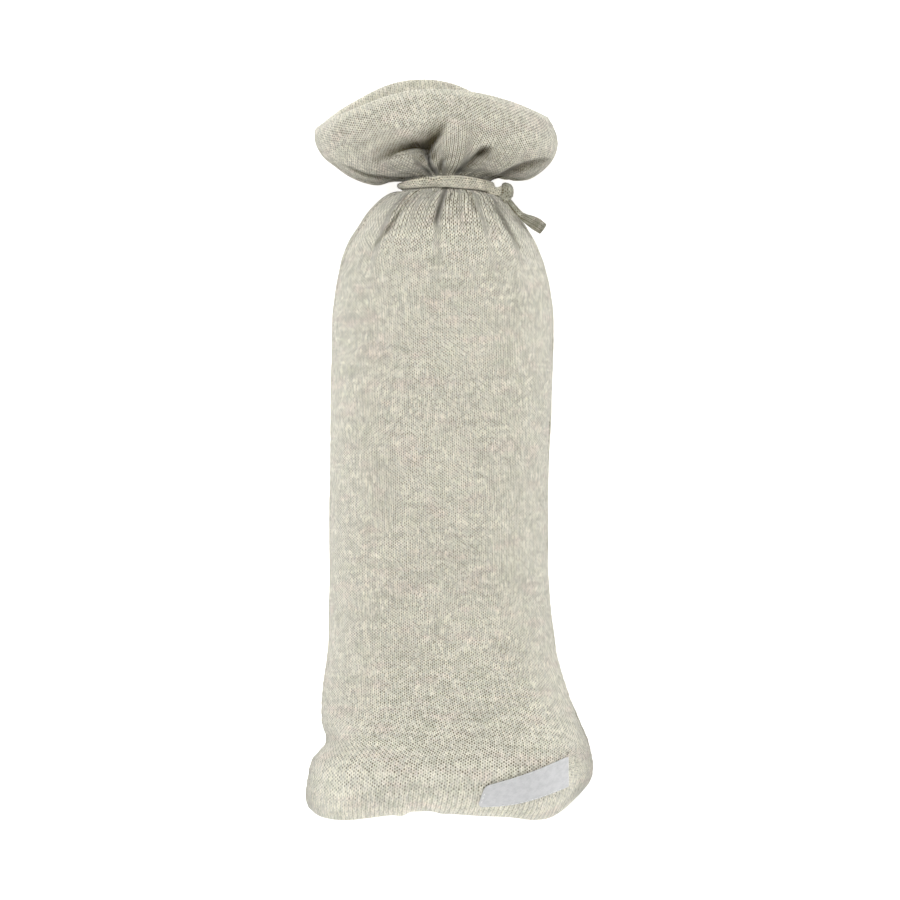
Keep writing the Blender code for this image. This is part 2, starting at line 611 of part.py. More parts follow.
def place_on_face(x, y):
    """Angle and station of the face's point that is seen at x, y."""
    station = y - BOTTOM_EDGE[0][1] + 20.0
    angle = np.full_like(station, math.pi / 2.0)
    for _ in range(80):
        left = section("left", station)
        right = section("right", station)
        reach = (x - (left + right) / 2.0) / ((right - left) / 2.0)
        across = np.sign(reach) * np.abs(reach) ** (ROUNDNESS / 2.0)
        angle = np.arccos(np.clip(across, -1.0, 1.0))
        found = plain_surface(angle, station)
        station = np.clip(station + 0.5 * (y - found[..., 1]), 0.05, RIM_STATION)
    return angle, station


def label():
    """The woven label, lying on the face at the lower right."""
    across = np.linspace(0.0, 1.0, LABEL_COLUMNS)[None, :]
    up = np.linspace(0.0, 1.0, LABEL_ROWS)[:, None]
    corner = {name: np.array(place) for name, place in LABEL_CORNERS.items()}
    low = (corner["bottom_left"] * (1.0 - across[..., None])
           + corner["bottom_right"] * across[..., None])
    high = corner["top_left"] * (1.0 - across[..., None]) + corner["top_right"] * across[..., None]
    flat = low * (1.0 - up[..., None]) + high * up[..., None]
    angle, station = place_on_face(flat[..., 0], flat[..., 1])
    under = cloth_point(angle, station, np.full_like(station, -LABEL_GAP))
    over = cloth_point(angle, station, np.full_like(station, -LABEL_GAP - LABEL_THICKNESS))
    points = np.concatenate([over.reshape(-1, 3), under.reshape(-1, 3)])
    points[:, 2] += PIECE_GAP / 2.0
    count = LABEL_ROWS * LABEL_COLUMNS
    faces = grid_faces(LABEL_ROWS, LABEL_COLUMNS)
    faces += [tuple(reversed(face)) for face in grid_faces(LABEL_ROWS, LABEL_COLUMNS, count)]
    rim = [place for place in range(LABEL_COLUMNS)]
    rim += [row * LABEL_COLUMNS + LABEL_COLUMNS - 1 for row in range(1, LABEL_ROWS)]
    rim += [count - 1 - place for place in range(1, LABEL_COLUMNS)]
    rim += [row * LABEL_COLUMNS for row in reversed(range(1, LABEL_ROWS - 1))]
    for place, point in enumerate(rim):
        after = rim[(place + 1) % len(rim)]
        faces.append((point, point + count, after + count, after))
    return make_object("label", points, faces, LABEL_WHITE, 0.6)


def build():
    clear_scene()
    panel("front_panel", True, FRONT_COLUMNS, OATMEAL)
    panel("back_panel", False, BACK_COLUMNS, OATMEAL_BACK)
    tie_band()
    tie_knot()
    tie_tail()
    label()


build()
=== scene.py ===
"""Looks of a knitted hot water bottle cover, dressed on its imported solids.

The cover lies on its back on a pale floor and is seen from straight above.  Lengths in
the tables and in the cloth's functions are millimetres; meshes are made in metres.

The bag is one tube.  A ring of the tube has an angle, 0 at the right side, 90 degrees at
the front, 180 at the left and 270 at the back; its station is a length of cloth from the
bottom seam.  The knit's wales run along the stations and its courses round the rings.
"""

import math

import bmesh
import bpy
import numpy as np
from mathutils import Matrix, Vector, noise


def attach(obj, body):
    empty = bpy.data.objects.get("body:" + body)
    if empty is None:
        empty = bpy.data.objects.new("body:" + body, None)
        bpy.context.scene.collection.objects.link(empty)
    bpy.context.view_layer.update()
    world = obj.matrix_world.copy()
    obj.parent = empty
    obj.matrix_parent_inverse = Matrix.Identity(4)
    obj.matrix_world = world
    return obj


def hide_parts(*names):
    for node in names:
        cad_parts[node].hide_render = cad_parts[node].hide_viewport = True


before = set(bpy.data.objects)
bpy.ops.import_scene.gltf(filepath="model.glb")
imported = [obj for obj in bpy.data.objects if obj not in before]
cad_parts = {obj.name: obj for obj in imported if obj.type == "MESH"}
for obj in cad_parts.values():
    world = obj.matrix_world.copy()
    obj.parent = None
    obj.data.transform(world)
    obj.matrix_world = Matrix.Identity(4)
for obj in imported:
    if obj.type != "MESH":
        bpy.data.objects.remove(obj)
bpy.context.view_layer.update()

MM = 0.001
UP = np.array((0.0, 0.0, 1.0))
TURN = 2.0 * math.pi


def table(columns, rows):
    """A table's rows, each a dictionary by the names of its columns."""
    names = columns.split()
    return [dict(zip(names, row)) for row in rows]


def column(rows, name):
    """One column's numbers."""
    return np.array([row[name] for row in rows], dtype=float)


# ---------------------------------------------------------------- camera
VIEW_WIDTH = 405.0           # what the picture spans at the height of the side seams
VIEW_CENTRE = (0.225, 0.225)
CAMERA_ABOVE_SEAMS = 9000.0
SENSOR = 36.0

# ---------------------------------------------------------------- the bag's sizes
WALL = 2.4                   # thickness of the double cloth
HEM_EXTRA = 0.8              # more of it in the turned-in hem, which begins this far below
HEM_DEPTH = 13.0             # the rim, and is full from here on
HEM_FULL = 2.0
PANEL_GAP = 0.08             # between the front and the back along the seams
SEAM_HEIGHT = 38.0
EDGE_RADIUS = 2.8            # round of the cloth at the seams
BOTTOM_ROUND = 40.0          # how far the body swells up from the bottom seam
ROUNDNESS = 2.2              # 2 is an ellipse across the bag, more is squarer
FLOOR_BLEND = 1.5
CORNER_DROOP = 8.0           # the two flat corners hang, from here outwards and down
CORNER_START = 40.0
CORNER_REACH = 24.0
CORNER_TOP = -108.0
CORNER_FALL = 38.0
BOTTOM_EDGE_REACH = 34.0     # how far up the rings follow the bottom edge's line
SHRINK_FROM = 24.0           # below this the inner face is a smaller bag, not an offset
SHRINK_TO = 60.0
SMALL_ANGLE = 1e-4           # the steps that tangents of the surface are measured over
SMALL_STEP = 1e-3
NO_TANGENT = 1e-9
RING_SAMPLES = 361           # places on a ring where its length is measured

# The sections of the bag, as in its solids.  step: spacing of the mesh's rows up to the
# next section.
SECTIONS = table("name step left right y_left y_right y_front y_back front back "
                 "fullness seam_l seam_r", (
    ("bottom seam", 0.5, -63.5, 58.5, -160.9, -155.0, -162.6, -162.6, 38.0, 41.0, 1.75, 0, 0),
    ("corners", 0.9, -64.8, 62.8, -156.8, -149.9, -157.5, -157.5, 38.0, 41.5, 1.55, 0, 0),
    ("ears", 1.2, -63.9, 64.8, -147.5, -142.4, -146.5, -146.5, 38.0, 42.0, 1.30, 0, 0),
    ("ear tops", 1.3, -62.1, 64.2, -138.8, -137.6, -138.8, -138.8, 38.0, 42.5, 1.10, 0, 0),
    ("notch", 1.3, -56.0, 62.4, -131.2, -131.2, -131.2, -131.2, 38.0, 43.0, 0.95, 0, 0),
    ("above notch", 1.7, -57.6, 58.4, -121.9, -121.9, -121.9, -121.9, 38.0, 43.0, 0.80, 1, 1),
    ("lower side", 2.2, -57.1, 53.1, -108.2, -108.2, -108.2, -108.2, 38.0, 43.0, 0.68, 3, 3),
    ("waist", 2.4, -54.9, 48.3, -90.2, -90.2, -90.2, -90.2, 38.0, 43.0, 0.57, 5, 5),
    ("low body", 2.6, -54.1, 45.1, -66.0, -66.0, -66.0, -66.0, 38.2, 43.0, 0.51, 6, 6),
    ("body", 2.6, -54.0, 44.5, -40.0, -40.0, -40.0, -40.0, 38.4, 43.0, 0.50, 6, 6),
    ("mid body", 2.6, -53.8, 45.0, 0.0, 0.0, 0.0, 0.0, 38.5, 43.0, 0.50, 6, 6),
    ("high body", 2.2, -53.1, 46.6, 40.0, 40.0, 40.0, 40.0, 38.2, 43.0, 0.50, 7, 6),
    ("chest", 1.5, -52.0, 46.2, 67.3, 67.3, 67.3, 67.3, 37.2, 42.0, 0.50, 9, 7),
    ("shoulder top", 1.1, -49.8, 43.6, 81.0, 81.0, 81.0, 81.0, 35.6, 39.5, 0.50, 12, 9),
    ("shoulder", 0.9, -46.3, 39.4, 92.2, 92.2, 92.2, 92.2, 32.8, 36.0, 0.50, 16, 12),
    ("upper shoulder", 0.7, -41.4, 34.6, 100.6, 100.6, 101.2, 100.0, 29.2, 31.0, 0.50, 19, 14),
    ("gathers", 0.6, -35.4, 29.4, 108.6, 108.0, 109.8, 107.2, 24.8, 25.6, 0.50, 20, 14),
    ("below tie", 0.55, -27.0, 24.0, 115.2, 113.7, 115.4, 111.8, 19.6, 19.6, 0.50, 18, 12),
    ("tie's lower edge", 0.8, -21.1, 18.8, 117.0, 115.3, 117.9, 113.7, 15.7, 15.7, 0.50, 14, 10),
    ("tie's upper edge", 0.5, -21.1, 18.4, 120.9, 120.8, 123.9, 119.3, 15.9, 15.7, 0.50, 12, 8),
    ("ruffle's root", 0.6, -25.4, 23.2, 121.4, 122.9, 126.2, 122.0, 19.6, 19.0, 0.50, 12, 8),
    ("ruffle's lip", 0.7, -31.9, 29.3, 119.6, 121.6, 128.0, 123.2, 24.0, 23.4, 0.50, 12, 8),
    ("lower roll", 0.75, -38.4, 35.8, 120.4, 122.3, 131.8, 126.3, 28.4, 27.9, 0.50, 12, 8),
    ("roll", 0.8, -46.0, 42.6, 123.5, 126.7, 137.9, 132.8, 32.6, 32.4, 0.50, 11, 8),
    ("belly", 0.8, -52.2, 47.2, 127.8, 132.3, 144.7, 140.0, 35.6, 36.2, 0.50, 10, 7),
    ("wide belly", 0.8, -57.2, 48.8, 132.2, 138.0, 150.8, 146.8, 37.2, 38.6, 0.50, 8, 6),
    ("below hem", 0.7, -60.2, 47.5, 138.0, 143.9, 156.8, 154.6, 37.6, 39.8, 0.50, 7, 5),
    ("rim", 0.0, -61.0, 44.4, 143.2, 149.6, 161.4, 167.0, 36.0, 39.4, 0.50, 6, 4),
))

# The line of the bottom seam between the two corners, x and y.
BOTTOM_EDGE = table("x y", (
    (-63.5, -160.9), (-59.5, -164.2), (-54.0, -165.9), (-47.0, -166.4),
    (-36.0, -165.4), (-26.0, -164.2), (-20.4, -164.2), (-18.0, -162.9),
    (-14.0, -162.5), (-7.0, -162.6), (-4.6, -163.3), (1.0, -163.6),
    (12.0, -164.4), (28.0, -165.2), (38.0, -166.3), (45.5, -165.2),
    (52.0, -161.2), (58.5, -155.0),
))

# Creases of the face, as they are seen from the front.  left and right are the widths of a
# crease's two walls, seen along its run, and shade is how much darker than its depth the
# painted shade inside it is.  Each place on its run has x, y and a depth; a negative depth
# is a soft ridge.
FOLDS = table("name left right shade run", (
    ("long tuck", 4.2, 1.3, 1.9, (
        (-34.0, 129.6, 0.3), (-29.0, 131.5, 2.4), (-23.8, 133.4, 4.2), (-18.5, 134.7, 5.8),
        (-14.2, 135.2, 7.2), (-11.4, 134.2, 7.6), (-9.4, 132.4, 4.2))),
    ("rise of the long tuck", 4.8, 1.0, 1.8, (
        (-9.6, 132.6, 4.4), (-8.9, 134.4, 7.8), (-7.2, 137.6, 7.0), (-5.0, 140.6, 5.2),
        (-3.0, 143.8, 3.0), (-1.4, 147.6, 0.5))),
    ("foot of the long tuck", 0.7, 0.9, 1.7, (
        (-9.4, 132.4, 8.0), (-9.1, 130.0, 5.2), (-8.4, 127.6, 3.6), (-6.4, 124.6, 2.2))),
    ("small left gather", 0.7, 1.0, 1.3, (
        (-16.4, 129.7, 0.5), (-12.4, 128.1, 2.0), (-10.4, 126.5, 2.6), (-8.4, 124.1, 1.8))),
    ("inner crease of the pleat", 1.0, 1.2, 1.7, (
        (-2.8, 131.6, 0.4), (-3.2, 130.2, 2.4), (-3.6, 128.4, 3.8), (-3.9, 126.4, 3.0),
        (-3.4, 124.6, 1.0))),
    ("top of the small roll", 0.7, 0.8, 1.1, (
        (-3.2, 129.3, 1.8), (-1.4, 130.9, 1.4), (0.4, 131.5, 1.0), (2.5, 131.3, 0.7),
        (3.9, 130.0, 0.5))),
    ("right tuck", 1.1, 2.6, 1.4, (
        (2.3, 123.9, 2.2), (3.6, 126.0, 3.8), (6.1, 127.6, 4.2), (9.0, 130.0, 4.6),
        (11.8, 132.7, 5.4), (14.3, 134.8, 5.6), (17.2, 135.4, 3.4), (19.6, 134.6, 0.4))),
    ("head of the right tuck", 1.8, 2.8, 1.8, (
        (11.6, 131.4, 1.4), (14.4, 133.4, 4.2), (17.0, 134.0, 3.2), (20.0, 133.8, 0.3))),
    ("left lip", 0.5, 1.3, 1.6, (
        (-47.7, 128.1, 0.4), (-44.1, 127.3, 2.0), (-39.6, 125.4, 3.0), (-35.1, 123.8, 3.4),
        (-29.7, 123.0, 3.6), (-20.7, 122.4, 3.6), (-15.8, 122.9, 2.6), (-9.9, 123.8, 1.2))),
    ("right lip", 0.5, 3.6, 1.5, (
        (5.4, 123.0, 1.8), (9.7, 122.2, 2.6), (16.7, 122.7, 3.4), (20.4, 123.0, 4.2),
        (25.5, 126.0, 5.0), (31.5, 128.6, 5.0), (36.9, 130.2, 4.4), (41.9, 131.2, 2.6),
        (44.4, 131.0, 0.8))),
    ("hollow above the tie, left", 1.0, 1.2, 1.4, (
        (-23.0, 121.6, 0.6), (-20.4, 121.4, 2.6), (-17.6, 121.6, 1.4), (-14.4, 122.0, 0.2))),
    ("hollow above the tie, right", 1.0, 1.0, 1.4, (
        (12.4, 122.2, 0.4), (15.2, 123.6, 1.8), (17.8, 123.4, 1.6), (19.6, 122.8, 0.3))),
    ("central pleat", 3.0, 3.0, 0.0, (
        (-6.0, 131.0, -0.8), (-2.0, 136.0, -1.3), (3.0, 141.0, -0.3))),
    ("left lobe", 2.6, 3.2, 0.0, (
        (-12.5, 130.8, -1.2), (-18.0, 131.3, -1.8), (-26.0, 130.3, -1.5), (-36.0, 128.5, -0.6))),
    ("right lobe", 4.0, 3.2, 0.0, (
        (12.0, 129.5, -0.6), (22.0, 131.5, -1.6), (32.0, 134.0, -1.6), (42.0, 138.0, -0.4))),
    ("left shoulder groove", 1.15, 0.9, 0.75, (
        (-14.6, 116.2, 0.7), (-18.6, 111.2, 1.4), (-22.4, 106.6, 2.4), (-24.9, 102.6, 3.4),
        (-27.6, 98.9, 2.6), (-30.6, 94.8, 1.4), (-35.0, 89.6, 0.2))),
    ("line beside the left groove", 0.5, 0.6, 1.4, (
        (-17.8, 115.6, 1.0), (-21.2, 111.2, 1.5), (-24.6, 107.2, 1.0), (-27.4, 103.6, 0.2))),
    ("line before the left groove", 0.5, 0.5, 1.4, (
        (-13.0, 116.5, 1.0), (-16.2, 112.6, 1.4), (-19.4, 108.6, 1.0), (-21.6, 105.6, 0.2))),
    ("centre shoulder groove", 0.85, 1.15, 1.25, (
        (-1.6, 116.6, 1.0), (-2.8, 113.2, 2.4), (-4.0, 109.6, 3.8), (-4.9, 106.6, 4.4),
        (-5.7, 103.8, 3.2), (-6.6, 101.2, 1.2), (-7.2, 98.8, 0.1))),
    ("first pleat under the tie", 0.5, 0.5, 2.2, (
        (-2.6, 117.6, 0.8), (-1.7, 116.4, 1.4), (-1.2, 114.9, 0.3))),
    ("second pleat under the tie", 0.5, 0.5, 2.4, (
        (2.2, 117.4, 1.2), (1.2, 115.6, 1.5), (0.0, 113.9, 1.4), (-0.7, 112.4, 0.3))),
    ("small shoulder groove", 0.8, 1.2, 1.7, (
        (8.4, 116.0, 0.9), (10.0, 113.0, 1.7), (11.0, 110.2, 2.2), (12.0, 107.4, 1.5),
        (13.1, 104.6, 0.2))),
    ("right shoulder groove", 0.9, 1.15, 0.6, (
        (14.4, 115.0, 1.4), (19.2, 110.2, 2.4), (22.8, 105.2, 3.8), (25.6, 100.2, 3.6),
        (29.0, 94.2, 2.0), (32.0, 89.8, 0.9), (34.7, 86.6, 0.2))),
    ("line beside the right groove", 0.5, 0.6, 1.4, (
        (17.1, 115.4, 0.9), (21.4, 110.9, 1.4), (24.6, 106.8, 1.0), (27.4, 102.0, 0.3))),
    ("line before the right groove", 0.5, 0.5, 1.4, (
        (11.6, 115.8, 0.8), (15.6, 111.6, 1.2), (18.6, 107.4, 0.8), (20.6, 103.6, 0.2))),
    ("crease from the notch", 2.6, 2.6, 0.6, (
        (-55.0, -131.4, 1.4), (-48.0, -133.8, 0.9), (-39.6, -139.0, 0.1))),
    ("slit at the right side", 0.5, 0.5, 2.0, ((49.4, -120.7, 0.5), (52.2, -119.8, 0.6))),
    # a painted shadow line along the label's top edge
    ("slit above the label", 0.35, 0.35, 3.6, (
        (15.4, -149.7, 0.5), (21.4, -147.9, 0.8), (29.9, -145.6, 0.8), (38.4, -141.9, 0.8),
        (47.2, -138.2, 0.9), (52.6, -136.0, 1.0), (54.6, -135.4, 0.6))),
    ("dimple at the foot", 0.8, 0.8, 1.5, ((-16.6, -160.9, 0.7), (-14.4, -161.1, 0.5))),
))
FOLD_SAMPLES = 41
FOLD_MARGIN = 4.0            # a crease is felt this many widths away
FOLD_LEAN = 0.6              # how gradually one wall's width turns into the other's
FOLD_LEAN_FROM = 0.05
FOLD_FRONT = 0.2             # creases fade out towards the side seams
FOLD_JOIN = 3.0              # how plainly the deepest of the creases that meet stands out
SWELL_SHARE = 0.12           # height, place and width of the swell beside a trough
SWELL_PLACE = 2.1
SWELL_WIDTH = 1.1
SHADE_DEPTH = 10.0           # a crease this deep is painted with all of the crease shade
GATHER_SHADE_DEPTH = 12.0    # the same for the gathers' painted shade, and the most that they can take
GATHER_SHADE_MOST = 0.3

# Gathers all round the neck.  up and down: depth of the trough above and below the tie;
# reach_up and reach_down: how far along the cloth it fades out; width in degrees.
GATHERS = table("name angle up reach_up down reach_down width", (
    ("right side", 14.0, 0.3, 20.0, 0.6, 16.0, 9.0),
    ("left side", 166.0, 0.5, 20.0, 0.5, 16.0, 8.0),
    ("back, left side", 203.0, 2.6, 26.0, 2.2, 30.0, 8.0),
    ("back, left", 226.0, 3.2, 34.0, 2.8, 34.0, 8.0),
    ("back, left of middle", 250.0, 2.4, 22.0, 2.0, 24.0, 7.0),
    ("back, middle", 271.0, 3.4, 36.0, 3.0, 32.0, 8.0),
    ("back, right of middle", 293.0, 2.6, 26.0, 2.2, 26.0, 7.0),
    ("back, right", 316.0, 3.2, 34.0, 2.8, 34.0, 8.0),
    ("back, right side", 340.0, 2.2, 22.0, 2.0, 26.0, 7.0),
))
GATHER_PEAK = 8.0            # a gather is deepest this far from the tie
UNDER_TIE_SHARE = 0.18       # what the tie leaves of the folds under it
UNDER_TIE_REACH = 3.0

# Places where the rim lies lower than its plain curve: angle, width, depth and how far
# below the rim it begins.
RIM_DIPS = table("angle width depth reach", (
    (302.0, 21.0, 6.3, 34.0),
    (235.0, 18.0, 1.2, 24.0),
    (124.0, 24.0, 2.1, 24.0),
))

# Fine pleats that the tie draws in: waves round the neck, fading along the cloth.
PLEATS = table("waves phase depth", (
    (23, 0.6, 0.26),
    (34, 2.1, 0.24),
    (47, 4.4, 0.16),
))
PLEAT_REACH_DOWN = 17.0
PLEAT_REACH_UP = 11.0
PLEAT_TWIST = 0.04

# Slow unevenness of the stuffed cloth: size across and along, and depth.
LUMPS = table("across along depth", (
    (34.0, 22.0, 0.55),
    (13.0, 8.0, 0.20),
))
LUMPS_START = (4.0, 30.0)    # they grow over this length from the bottom seam

SEAM_GROOVE = 1.0            # how deep the side seams sink, and over what width
SEAM_GROOVE_WIDTH = 0.8
# painted shade along the seam grooves, darkening the yarn's colour there
SEAM_SHADE = 0.45
SEAM_PUCKER = 0.16           # small puckers along the side seams
SEAM_PUCKER_REACH = 4.0
SEAM_PUCKER_PITCH = 4.3
SEAM_START = (2.0, 14.0)     # how far from the bottom seam all this begins
FAR_FROM_SEAM = 50.0

FRONT_COLUMNS = 260          # even, because the inner sheet has half as many
BACK_COLUMNS = 180
COLUMN_CROWDING = 0.3        # the front's columns lie closer in its middle
FOOT_CROWDING = 1.7          # and the first section's rows at the bottom seam
HEM_ROUND_STEPS = 7
HEM_COURSES = 3.4            # courses that the rim's round edge takes

WALE = 1.70                  # width of a knitted stitch
COURSE = 1.20                # height of a knitted stitch
SHOULDER_STRETCH = 0.42      # share of courses fewer where the tie draws stitches longer
SHOULDER_STRETCH_REACH = (50.0, 16.0)

# Angles where wales run into the gathers, and how many go there below and above the tie.
WALE_GATHERS = table("angle below above", (
    (14.0, 1.2, 1.4),
    (41.0, 1.6, 0.5),
    (62.0, 0.9, 0.4),
    (78.0, 0.3, 1.6),
    (92.0, 1.4, 0.8),
    (101.0, 0.2, 1.8),
    (110.0, 0.3, 0.9),
    (131.0, 1.8, 0.6),
    (166.0, 1.2, 1.4),
    (203.0, 1.2, 1.2),
    (226.0, 1.4, 1.4),
    (250.0, 1.2, 1.2),
    (271.0, 1.4, 1.4),
    (293.0, 1.2, 1.2),
    (316.0, 1.4, 1.4),
    (340.0, 1.2, 1.2),
))
WALE_GATHER_WIDTH = 2.6
WALE_GATHER_REACH = (50.0, 75.0)

# Where the cloth is pulled along its wales, so that they stand out as ribs: how strongly,
# and the lengths of cloth over which that fades.
PULL_AT_TIE = 0.9
PULL_AT_TIE_REACH = (6.0, 46.0)
PULL_AT_HEM = 0.2
PULL_AT_HEM_REACH = (3.0, 12.0)
PULL_AT_FOOT = 0.3
PULL_AT_FOOT_REACH = (4.0, 18.0)

# The holes between the stitches open on the ruffle, less so at the rim, and close at the
# folded edges; near the bottom seam their closing is also painted light, a lighter and
# smoother band there.
RUFFLE_OPENS = (-6.0, 8.0)
RIM_LESS_OPEN = 0.6
RIM_LESS_FROM = 22.0
HEM_EDGE = 1.9
HEM_EDGE_BLEND = 0.8
FOOT_EDGE = 26.0
EDGE_CLOSE = 1.4

# ---------------------------------------------------------------- the tie's sizes
TIE_WIDTHS = table("angle half_width standoff", (
    (-90.0, 2.6, 0.7),
    (0.0, 2.6, 0.7),
    (40.0, 2.6, 0.7),
    (75.0, 2.9, 0.7),
    (102.0, 2.7, 0.7),
    (125.0, 2.2, 0.7),
    (150.0, 1.7, 0.9),
    (165.0, 1.35, 1.1),
    (180.0, 1.1, 1.3),
    (200.0, 1.4, 1.1),
    (230.0, 2.4, 0.8),
    (270.0, 2.6, 0.7),
    (360.0, 2.6, 0.7),
))
TIE_HALF_WIDTH = 2.6
TIE_HALF_THICKNESS = 0.95
CROSSING_ANGLE = 98.0        # where the tie lies over itself at the front
CROSSING_WIDTH = 9.0
CROSSING_LEAN = 1.2815
CROSSING_SWELL = 0.5
CROSSING_THICKENS = 0.4
BAND_STEPS = 240
STRIP_SIDES = 28
STRIP_SQUARENESS = 2.4       # 2 is an ellipse across the strip, more is squarer
BAND_PULL = 0.1
TAIL_PULL = 0.6

# The knot and the free end: places along each strip's middle, and its size there.
STRIP_COLUMNS = "x y z half_width half_thickness"
KNOT_STRAND = table(STRIP_COLUMNS, (
    (12.6, 118.8, 45.4, 1.8, 0.8),
    (16.0, 118.3, 47.2, 2.3, 0.9),
    (18.6, 117.4, 47.6, 2.2, 0.95),
    (20.8, 116.5, 48.1, 1.9, 1.0),
    (22.6, 116.4, 48.8, 2.3, 1.1),
    (24.6, 116.7, 49.2, 2.6, 1.2),
))
KNOT_WRAP = table(STRIP_COLUMNS, (
    (24.8, 119.7, 46.0, 0.7, 0.8),
    (25.0, 118.9, 48.9, 1.7, 1.5),
    (25.9, 117.6, 50.5, 2.7, 1.8),
    (26.0, 115.6, 50.7, 2.8, 1.8),
    (25.7, 113.8, 50.4, 2.6, 1.5),
    (26.2, 112.0, 50.6, 1.6, 1.0),
))
TAIL = table(STRIP_COLUMNS, (
    (25.8, 113.2, 49.6, 1.2, 0.9),
    (27.6, 111.0, 52.2, 1.3, 0.9),
    (29.7, 108.3, 53.8, 1.45, 0.9),
    (31.9, 105.9, 54.1, 1.6, 0.9),
    (33.9, 104.5, 52.9, 1.95, 0.9),
    (36.5, 103.1, 50.9, 2.6, 0.85),
    (39.2, 101.6, 49.0, 2.95, 0.8),
    (42.0, 99.6, 46.6, 2.65, 0.8),
))
STRIP_STEPS = 60

# ---------------------------------------------------------------- the label's sizes
LABEL_CORNERS = {
    "bottom_left": (12.6, -159.4),
    "bottom_right": (53.3, -150.9),
    "top_left": (15.8, -150.2),
    "top_right": (53.1, -137.3),
}
LABEL_TOP_SAG = 1.0
LABEL_BOTTOM_SAG = 2.5
LABEL_GAP = 0.45
LABEL_THICKNESS = 0.9
LABEL_EDGE_ROUND = 0.45
LABEL_EDGE_SHARE = 0.35      # thickness at its very edge
LABEL_PUFF = 0.25            # it swells a little between its seams, and ripples
LABEL_PUFF_FROM = (0.6, 3.0)
LABEL_RIPPLE = 0.12
LABEL_RIPPLE_ACROSS = 9.0
LABEL_RIPPLE_UP = 2.0
LABEL_COLUMNS = 96
LABEL_ROWS = 36
LABEL_LENGTH = 41.0
LABEL_HEIGHT = 12.0
LABEL_CORNER_ROUND = {"left": 2.2, "right": 0.7}

# Sewing along the label's edges: where each seam starts and ends, in shares of the label.
LABEL_SEAMS = table("from_across from_up to_across to_up", (
    (0.055, 0.060, 0.975, 0.060),
    (0.982, 0.110, 0.982, 0.900),
    (0.022, 0.230, 0.022, 0.900),
))
STITCH_PITCH = 2.1
STITCH_LENGTH = 1.25
STITCH_RADIUS = 0.16
STITCH_SINK = 0.1
STITCH_ARCH = 0.26
STITCH_SIDES = 8
STITCH_STEPS = 7


# ================================================================ small helpers
def smooth_step(value, low, high):
    share = np.clip((value - low) / (high - low), 0.0, 1.0)
    return share * share * (3.0 - 2.0 * share)


def quarter_round(share):
    """Height of a quarter circle, 0 at its edge and 1 from its centre on."""
    share = np.clip(share, 0.0, 1.0)
    return np.sqrt(share * (2.0 - share))


def through(knots, values, at):
    """A smooth curve through a table's values, read at any place."""
    slopes = np.gradient(values, knots)
    first = np.clip(np.searchsorted(knots, at, side="right") - 1, 0, len(knots) - 2)
    span = knots[first + 1] - knots[first]
    share = (at - knots[first]) / span
    square = share * share
    cube = square * share
    return ((2.0 * cube - 3.0 * square + 1.0) * values[first]
            + (cube - 2.0 * square + share) * span * slopes[first]
            + (3.0 * square - 2.0 * cube) * values[first + 1]
            + (cube - square) * span * slopes[first + 1])


def unit(vectors):
    return vectors / np.linalg.norm(vectors, axis=-1, keepdims=True)


# ================================================================ the bag's surface
def station_lengths():
    """Length of cloth from the bottom seam to each section, mean of side and front."""
    steps = []
    for across, along in (("left", "y_left"), ("right", "y_right"), ("front", "y_front")):
        line = np.stack([column(SECTIONS, across), column(SECTIONS, along)], axis=1)
        steps.append(np.linalg.norm(np.diff(line, axis=0), axis=1))
    return np.concatenate([[0.0], np.cumsum(np.mean(steps, axis=0))])


STATIONS = station_lengths()
STATION_OF = dict(zip((row["name"] for row in SECTIONS), STATIONS))
TIE_STATION = (STATION_OF["tie's lower edge"] + STATION_OF["tie's upper edge"]) / 2.0
RIM_STATION = STATION_OF["rim"]


def section(name, station):
    return through(STATIONS, column(SECTIONS, name), station)


def ring_height(angle, station):
    """y of a ring's points, from its heights at the left, right, front and back."""
    across = np.cos(angle)
    outward = np.sin(angle)
    side = np.where(across > 0.0, section("y_right", station), section("y_left", station))
    face = np.where(outward > 0.0, section("y_front", station), section("y_back", station))
    turn = np.degrees(angle) % 360.0
    height = side * across ** 2 + face * outward ** 2
    for dip in RIM_DIPS:
        near = smooth_step(station, RIM_STATION - dip["reach"], RIM_STATION)
        away = (turn - dip["angle"]) / dip["width"]
        height = height - dip["depth"] * near * np.exp(-away ** 2)
    return height


def plain_surface(angle, station, inset=0.0):
    """The tube without its folds.  Below station 0 it is mirrored in the seams' plane.

    With an inset, the outline, the bottom edge and the depths all shrink by it.
    """
    beyond = np.where(station < 0.0, -1.0, 1.0)
    station = np.abs(station)
    power = 2.0 / ROUNDNESS
    across = np.cos(angle)
    outward = np.sin(angle)
    left = section("left", station)
    right = section("right", station)
    half = (right - left) / 2.0 - inset
    reach = np.sign(across) * np.abs(across) ** power
    x = (left + right) / 2.0 + half * reach
    above_seam = section("y_front", station) - section("y_front", 0.0)
    radius = EDGE_RADIUS - inset
    lip = radius * quarter_round(above_seam / radius)
    depth = np.where(outward > 0.0, section("front", station), section("back", station)) - inset
    swell = np.maximum(depth * quarter_round(above_seam / BOTTOM_ROUND) - lip, 0.0)
    fullness = 2.0 * section("fullness", station) * power
    edge = quarter_round(half * (1.0 - np.abs(reach)) / radius)
    height = lip * edge + swell * np.abs(outward) ** fullness
    z = SEAM_HEIGHT + beyond * np.sign(outward) * height
    edge_x = column(BOTTOM_EDGE, "x")
    bottom = through(edge_x, column(BOTTOM_EDGE, "y"), np.clip(x, edge_x[0], edge_x[-1]))
    follow = 1.0 - smooth_step(above_seam, 0.0, BOTTOM_EDGE_REACH)
    y = ring_height(angle, station)
    y = y + follow * (bottom + inset - ring_height(angle, np.zeros_like(station)))
    return np.stack([x, y, z], axis=-1)


